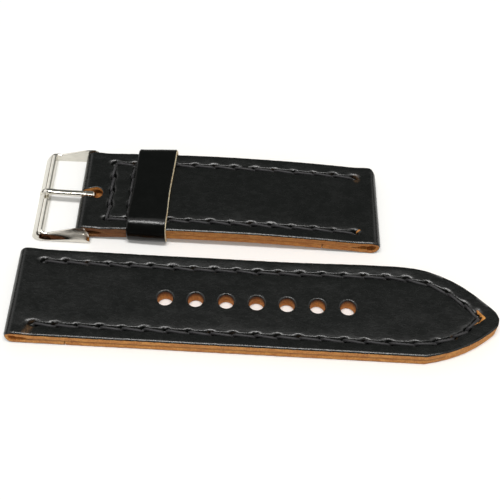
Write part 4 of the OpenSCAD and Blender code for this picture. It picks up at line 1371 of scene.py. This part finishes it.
def black_leather(name, blacks, gloss, specular, painted, core=None):
    """Black leather with a waxy grain. Where it is cut deeper than the painted rim it is tan, or has the
    colours of its core."""
    n = Surface(name)
    tan, fibres = tan_colour(n)
    if core:
        tan = n.ramp(fibres, *core)
    black = n.ramp(n.noise((0.12, 0.16, 0.2), 4.0, 0.6), *blacks)
    worn = n.times(n.attribute("worn"), n.span(fibres, 0.35, 0.62))
    black = n.mix(worn, black, RUBBED)
    ragged = n.math("ADD", n.attribute("cut"), n.times(n.math("SUBTRACT", fibres, 0.5), RAGGED))
    raw = n.span(ragged, painted, painted + 0.05)
    waxed = n.span(n.noise((0.5, 0.8, 0.8), 5.0, 0.7), 0.3, 0.75, gloss, gloss + 0.1)
    waxed = n.times(n.math("SUBTRACT", 1.0, raw), waxed)
    rough = n.math("ADD", waxed, n.times(raw, RAW_ROUGH))
    n.set(Base_Color=n.mix(raw, black, tan), Roughness=rough, Specular_IOR_Level=specular)
    bumpy = n.bump(n.noise((1.1, 1.6, 1.4), 6.0, 0.65, 0.4), 0.06, 0.5)
    bumpy = n.bump(n.cells((3.4, 3.8, 3.4)), 0.03, 0.45, bumpy)
    n.set(Normal=n.bump(n.times(fibres, raw), 0.12, 1.0, bumpy))
    return n.material


def tan_lining():
    """Natural tan leather"""
    n = Surface("tan_lining")
    tan, fibres = tan_colour(n)
    face = n.ramp(n.noise((0.25, 0.3, 0.4), 4.0, 0.6), *SMOOTH_TAN)
    raw = n.span(n.attribute("cut"), 0.1, 0.3)
    n.set(Base_Color=n.mix(raw, face, tan), Roughness=0.72, Specular_IOR_Level=0.3)
    n.set(Normal=n.bump(fibres, 0.1, 0.8, n.bump(n.cells((3.0, 3.0, 3.0)), 0.04, 0.5)))
    return n.material


def waxed_thread():
    n = Surface("waxed_thread")
    fuzz = n.noise((2.5, 2.5, 2.5), 4.0, 0.7)
    n.set(Base_Color=n.ramp(fuzz, *THREAD_BLACK), Roughness=n.span(fuzz, 0.3, 0.7, 0.42, 0.62))
    n.set(Specular_IOR_Level=0.5, Sheen_Weight=0.15)
    n.set(Normal=n.bump(n.noise((9.0, 9.0, 9.0), 2.0), 0.05, 0.7))
    return n.material


def polished_steel():
    n = Surface("polished_steel")
    smear = n.noise((0.35, 0.5, 0.5), 3.0, 0.6)
    n.set(Base_Color=n.ramp(smear, *STEEL), Metallic=1.0, Roughness=n.span(smear, 0.3, 0.7, 0.05, 0.1))
    n.set(Normal=n.bump(n.noise((0.8, 0.8, 0.8), 2.0), 0.012, 0.5))
    return n.material


def dress():
    """Every piece with its material, on its body, in the place of its solid"""
    strap_black = black_leather("black_leather_top", STRAP_BLACK, 0.22, 0.45, 0.24)
    # The keeper's cream core is partly a painted highlight on its edge towards the lugs
    keeper_black = black_leather("black_leather_keeper", KEEPER_BLACK, 0.12, 0.3, 0.9, CREAM)
    tan, thread, steel = tan_lining(), waxed_thread(), polished_steel()
    pieces = [
        (short_outer(), strap_black, "short_strap", "black_leather", "short_outer_leather"),
        (short_lining(), tan, "short_strap", "tan_leather", "short_lining_leather"),
        (long_outer(), strap_black, "long_strap", "black_leather", "long_outer_leather"),
        (long_lining(), tan, "long_strap", "tan_leather", "long_lining_leather"),
        (thread_object("short_edge_cord", SHORT_BARS, bow, SHORT_MID),
         thread, "short_strap", "black_thread", "short_edge_thread"),
        (thread_object("short_cross_cord", CROSS_BARS, bow, SHORT_MID),
         thread, "short_strap", "black_thread", "short_cross_thread"),
        (thread_object("long_edge_cord", LONG_BARS, lean_tip, LONG_MID),
         thread, "long_strap", "black_thread", "long_edge_thread"),
        (keeper(), keeper_black, "keeper", "keeper_leather", "keeper_band"),
        (buckle_frame(), steel, "buckle", "polished_steel", "buckle_frame"),
        (buckle_tongue(), steel, "tongue", "polished_steel", "buckle_tongue"),
    ]
    for thing, material, body, slot, node in pieces:
        coat(thing, material)
        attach(thing, body)
        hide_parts(node)
    for node in ("spring_bar_tube", "spring_bar_pin_far", "spring_bar_pin_near", "spring_bar_spring"):
        coat(frame["nodes"][node], steel)
    coat(frame["nodes"]["keeper_seam_thread"], thread)


# Camera, found from the edges of both halves in the photograph
EYE = Vector((-1.84, -138.10, 205.76)) * MM
TILT = math.radians(55.84)
ROLL = math.radians(3.09)
FOCAL_PX = 1001.37
FRAME_PX = 500
SENSOR_MM = 36.0
CLIP_START, CLIP_END = 0.01, 20.0


def camera():
    data = bpy.data.cameras.new("camera")
    data.sensor_width = SENSOR_MM
    data.lens = SENSOR_MM * FOCAL_PX / FRAME_PX
    data.clip_start, data.clip_end = CLIP_START, CLIP_END
    thing = bpy.data.objects.new("camera", data)
    bpy.context.scene.collection.objects.link(thing)
    right = Vector((1, 0, 0))
    up = Vector((0, math.sin(TILT), math.cos(TILT)))
    ahead = Vector((0, math.cos(TILT), -math.sin(TILT)))
    c, s = math.cos(ROLL), math.sin(ROLL)
    x_axis, y_axis = c * right + s * up, c * up - s * right
    turn = Matrix((x_axis, y_axis, -ahead)).transposed().to_4x4()
    thing.matrix_world = Matrix.Translation(EYE) @ turn
    bpy.context.scene.camera = thing


# The lamp: overhead and a little to the near side, as bright as a surface of its radiance
LAMP_AWAY = 0.9
LAMP_UP = math.radians(84)
LAMP_SIZE = (0.55, 0.14)
LAMP_RADIANCE = 21.5
LAMP_COLOUR = (1.0, 0.99, 0.975)


def lamp():
    """A soft lamp that faces the strap"""
    data = bpy.data.lights.new("overhead_softbox", "AREA")
    data.shape = "RECTANGLE"
    data.size, data.size_y = LAMP_SIZE
    data.energy = LAMP_RADIANCE * math.pi * LAMP_SIZE[0] * LAMP_SIZE[1]
    data.color = LAMP_COLOUR
    thing = bpy.data.objects.new("overhead_softbox", data)
    bpy.context.scene.collection.objects.link(thing)
    way = Vector((0, -math.cos(LAMP_UP), math.sin(LAMP_UP)))
    thing.location = way * LAMP_AWAY
    thing.rotation_euler = way.to_track_quat("Z", "Y").to_euler()


# The room that reflections show: its colours, and where its parts begin, as components of the direction
HORIZON = (0.055, 0.048, 0.04)
FLOOR_TONE = (0.6, 0.58, 0.54)
BRIGHT = (1.15, 1.14, 1.12)
FAR_WALL = (0.13, 0.138, 0.13)
NEAR_WALL = (0.06, 0.055, 0.05)
AMBIENT = (0.42, 0.42, 0.405)
WHITE = (1.0, 1.0, 1.0)
FLOOR_EDGE_Z = (0.02, 0.0)
BRIGHT_Z = (0.26, 0.48)
WALLS_X = (0.62, 0.38)
FAR_WALL_Y = (0.3, 0.44)
FAR_WALL_Z = (0.3, 0.5)
NEAR_WALL_Y = (-0.16, -0.34)


def world():
    """Plain light for surfaces, white for the camera, and a room for reflections: a dim horizon, bright
    sides, a dim far wall and a dark wall behind the camera"""
    scene_world = bpy.data.worlds.new("studio")
    bpy.context.scene.world = scene_world
    scene_world.use_nodes = True
    n = Nodes(scene_world.node_tree)
    generated = n.add("ShaderNodeTexCoord").outputs["Generated"]
    x, y, z = n.add("ShaderNodeSeparateXYZ", {0: generated}).outputs
    ahead = n.span(n.math("ABSOLUTE", x), *WALLS_X)
    room = n.mix(n.span(z, *FLOOR_EDGE_Z), HORIZON, FLOOR_TONE)
    room = n.mix(n.span(z, *BRIGHT_Z), room, BRIGHT)
    far = n.times(n.times(n.span(y, *FAR_WALL_Y), ahead), n.span(z, *FAR_WALL_Z))
    room = n.mix(far, room, FAR_WALL)
    room = n.mix(n.times(n.span(y, *NEAR_WALL_Y), ahead), room, NEAR_WALL)
    path = n.add("ShaderNodeLightPath").outputs
    shown = n.mix(path["Is Glossy Ray"], AMBIENT, room)
    back = n.add("ShaderNodeBackground", {"Color": n.mix(path["Is Camera Ray"], shown, WHITE)})
    n.add("ShaderNodeOutputWorld", {0: back.outputs[0]})


FLOOR_Z = -0.02
FLOOR_HALF = 1500.0
FLOOR_COLOUR = (0.93, 0.93, 0.92, 1.0)
FLOOR_GLOW = (1.0, 1.0, 0.99, 1.0)
FLOOR_GLOW_STRENGTH = 0.12


def floor():
    """A plain pale floor, a hair below the strap"""
    h = FLOOR_HALF
    points = [(-h, -h, FLOOR_Z), (h, -h, FLOOR_Z), (h, h, FLOOR_Z), (-h, h, FLOOR_Z)]
    thing = mesh_object("floor", points, [[0, 1, 2, 3]])
    n = Surface("pale_floor")
    path = n.add("ShaderNodeLightPath").outputs
    seen = n.math("MAXIMUM", path["Is Camera Ray"], path["Is Transmission Ray"])
    n.set(Base_Color=FLOOR_COLOUR, Roughness=0.9, Specular_IOR_Level=0.0)
    n.set(Emission_Color=FLOOR_GLOW, Emission_Strength=n.times(seen, FLOOR_GLOW_STRENGTH))
    coat(thing, n.material)


camera()
world()
floor()
lamp()
dress()

scene = bpy.context.scene
scene.view_settings.view_transform = "Standard"
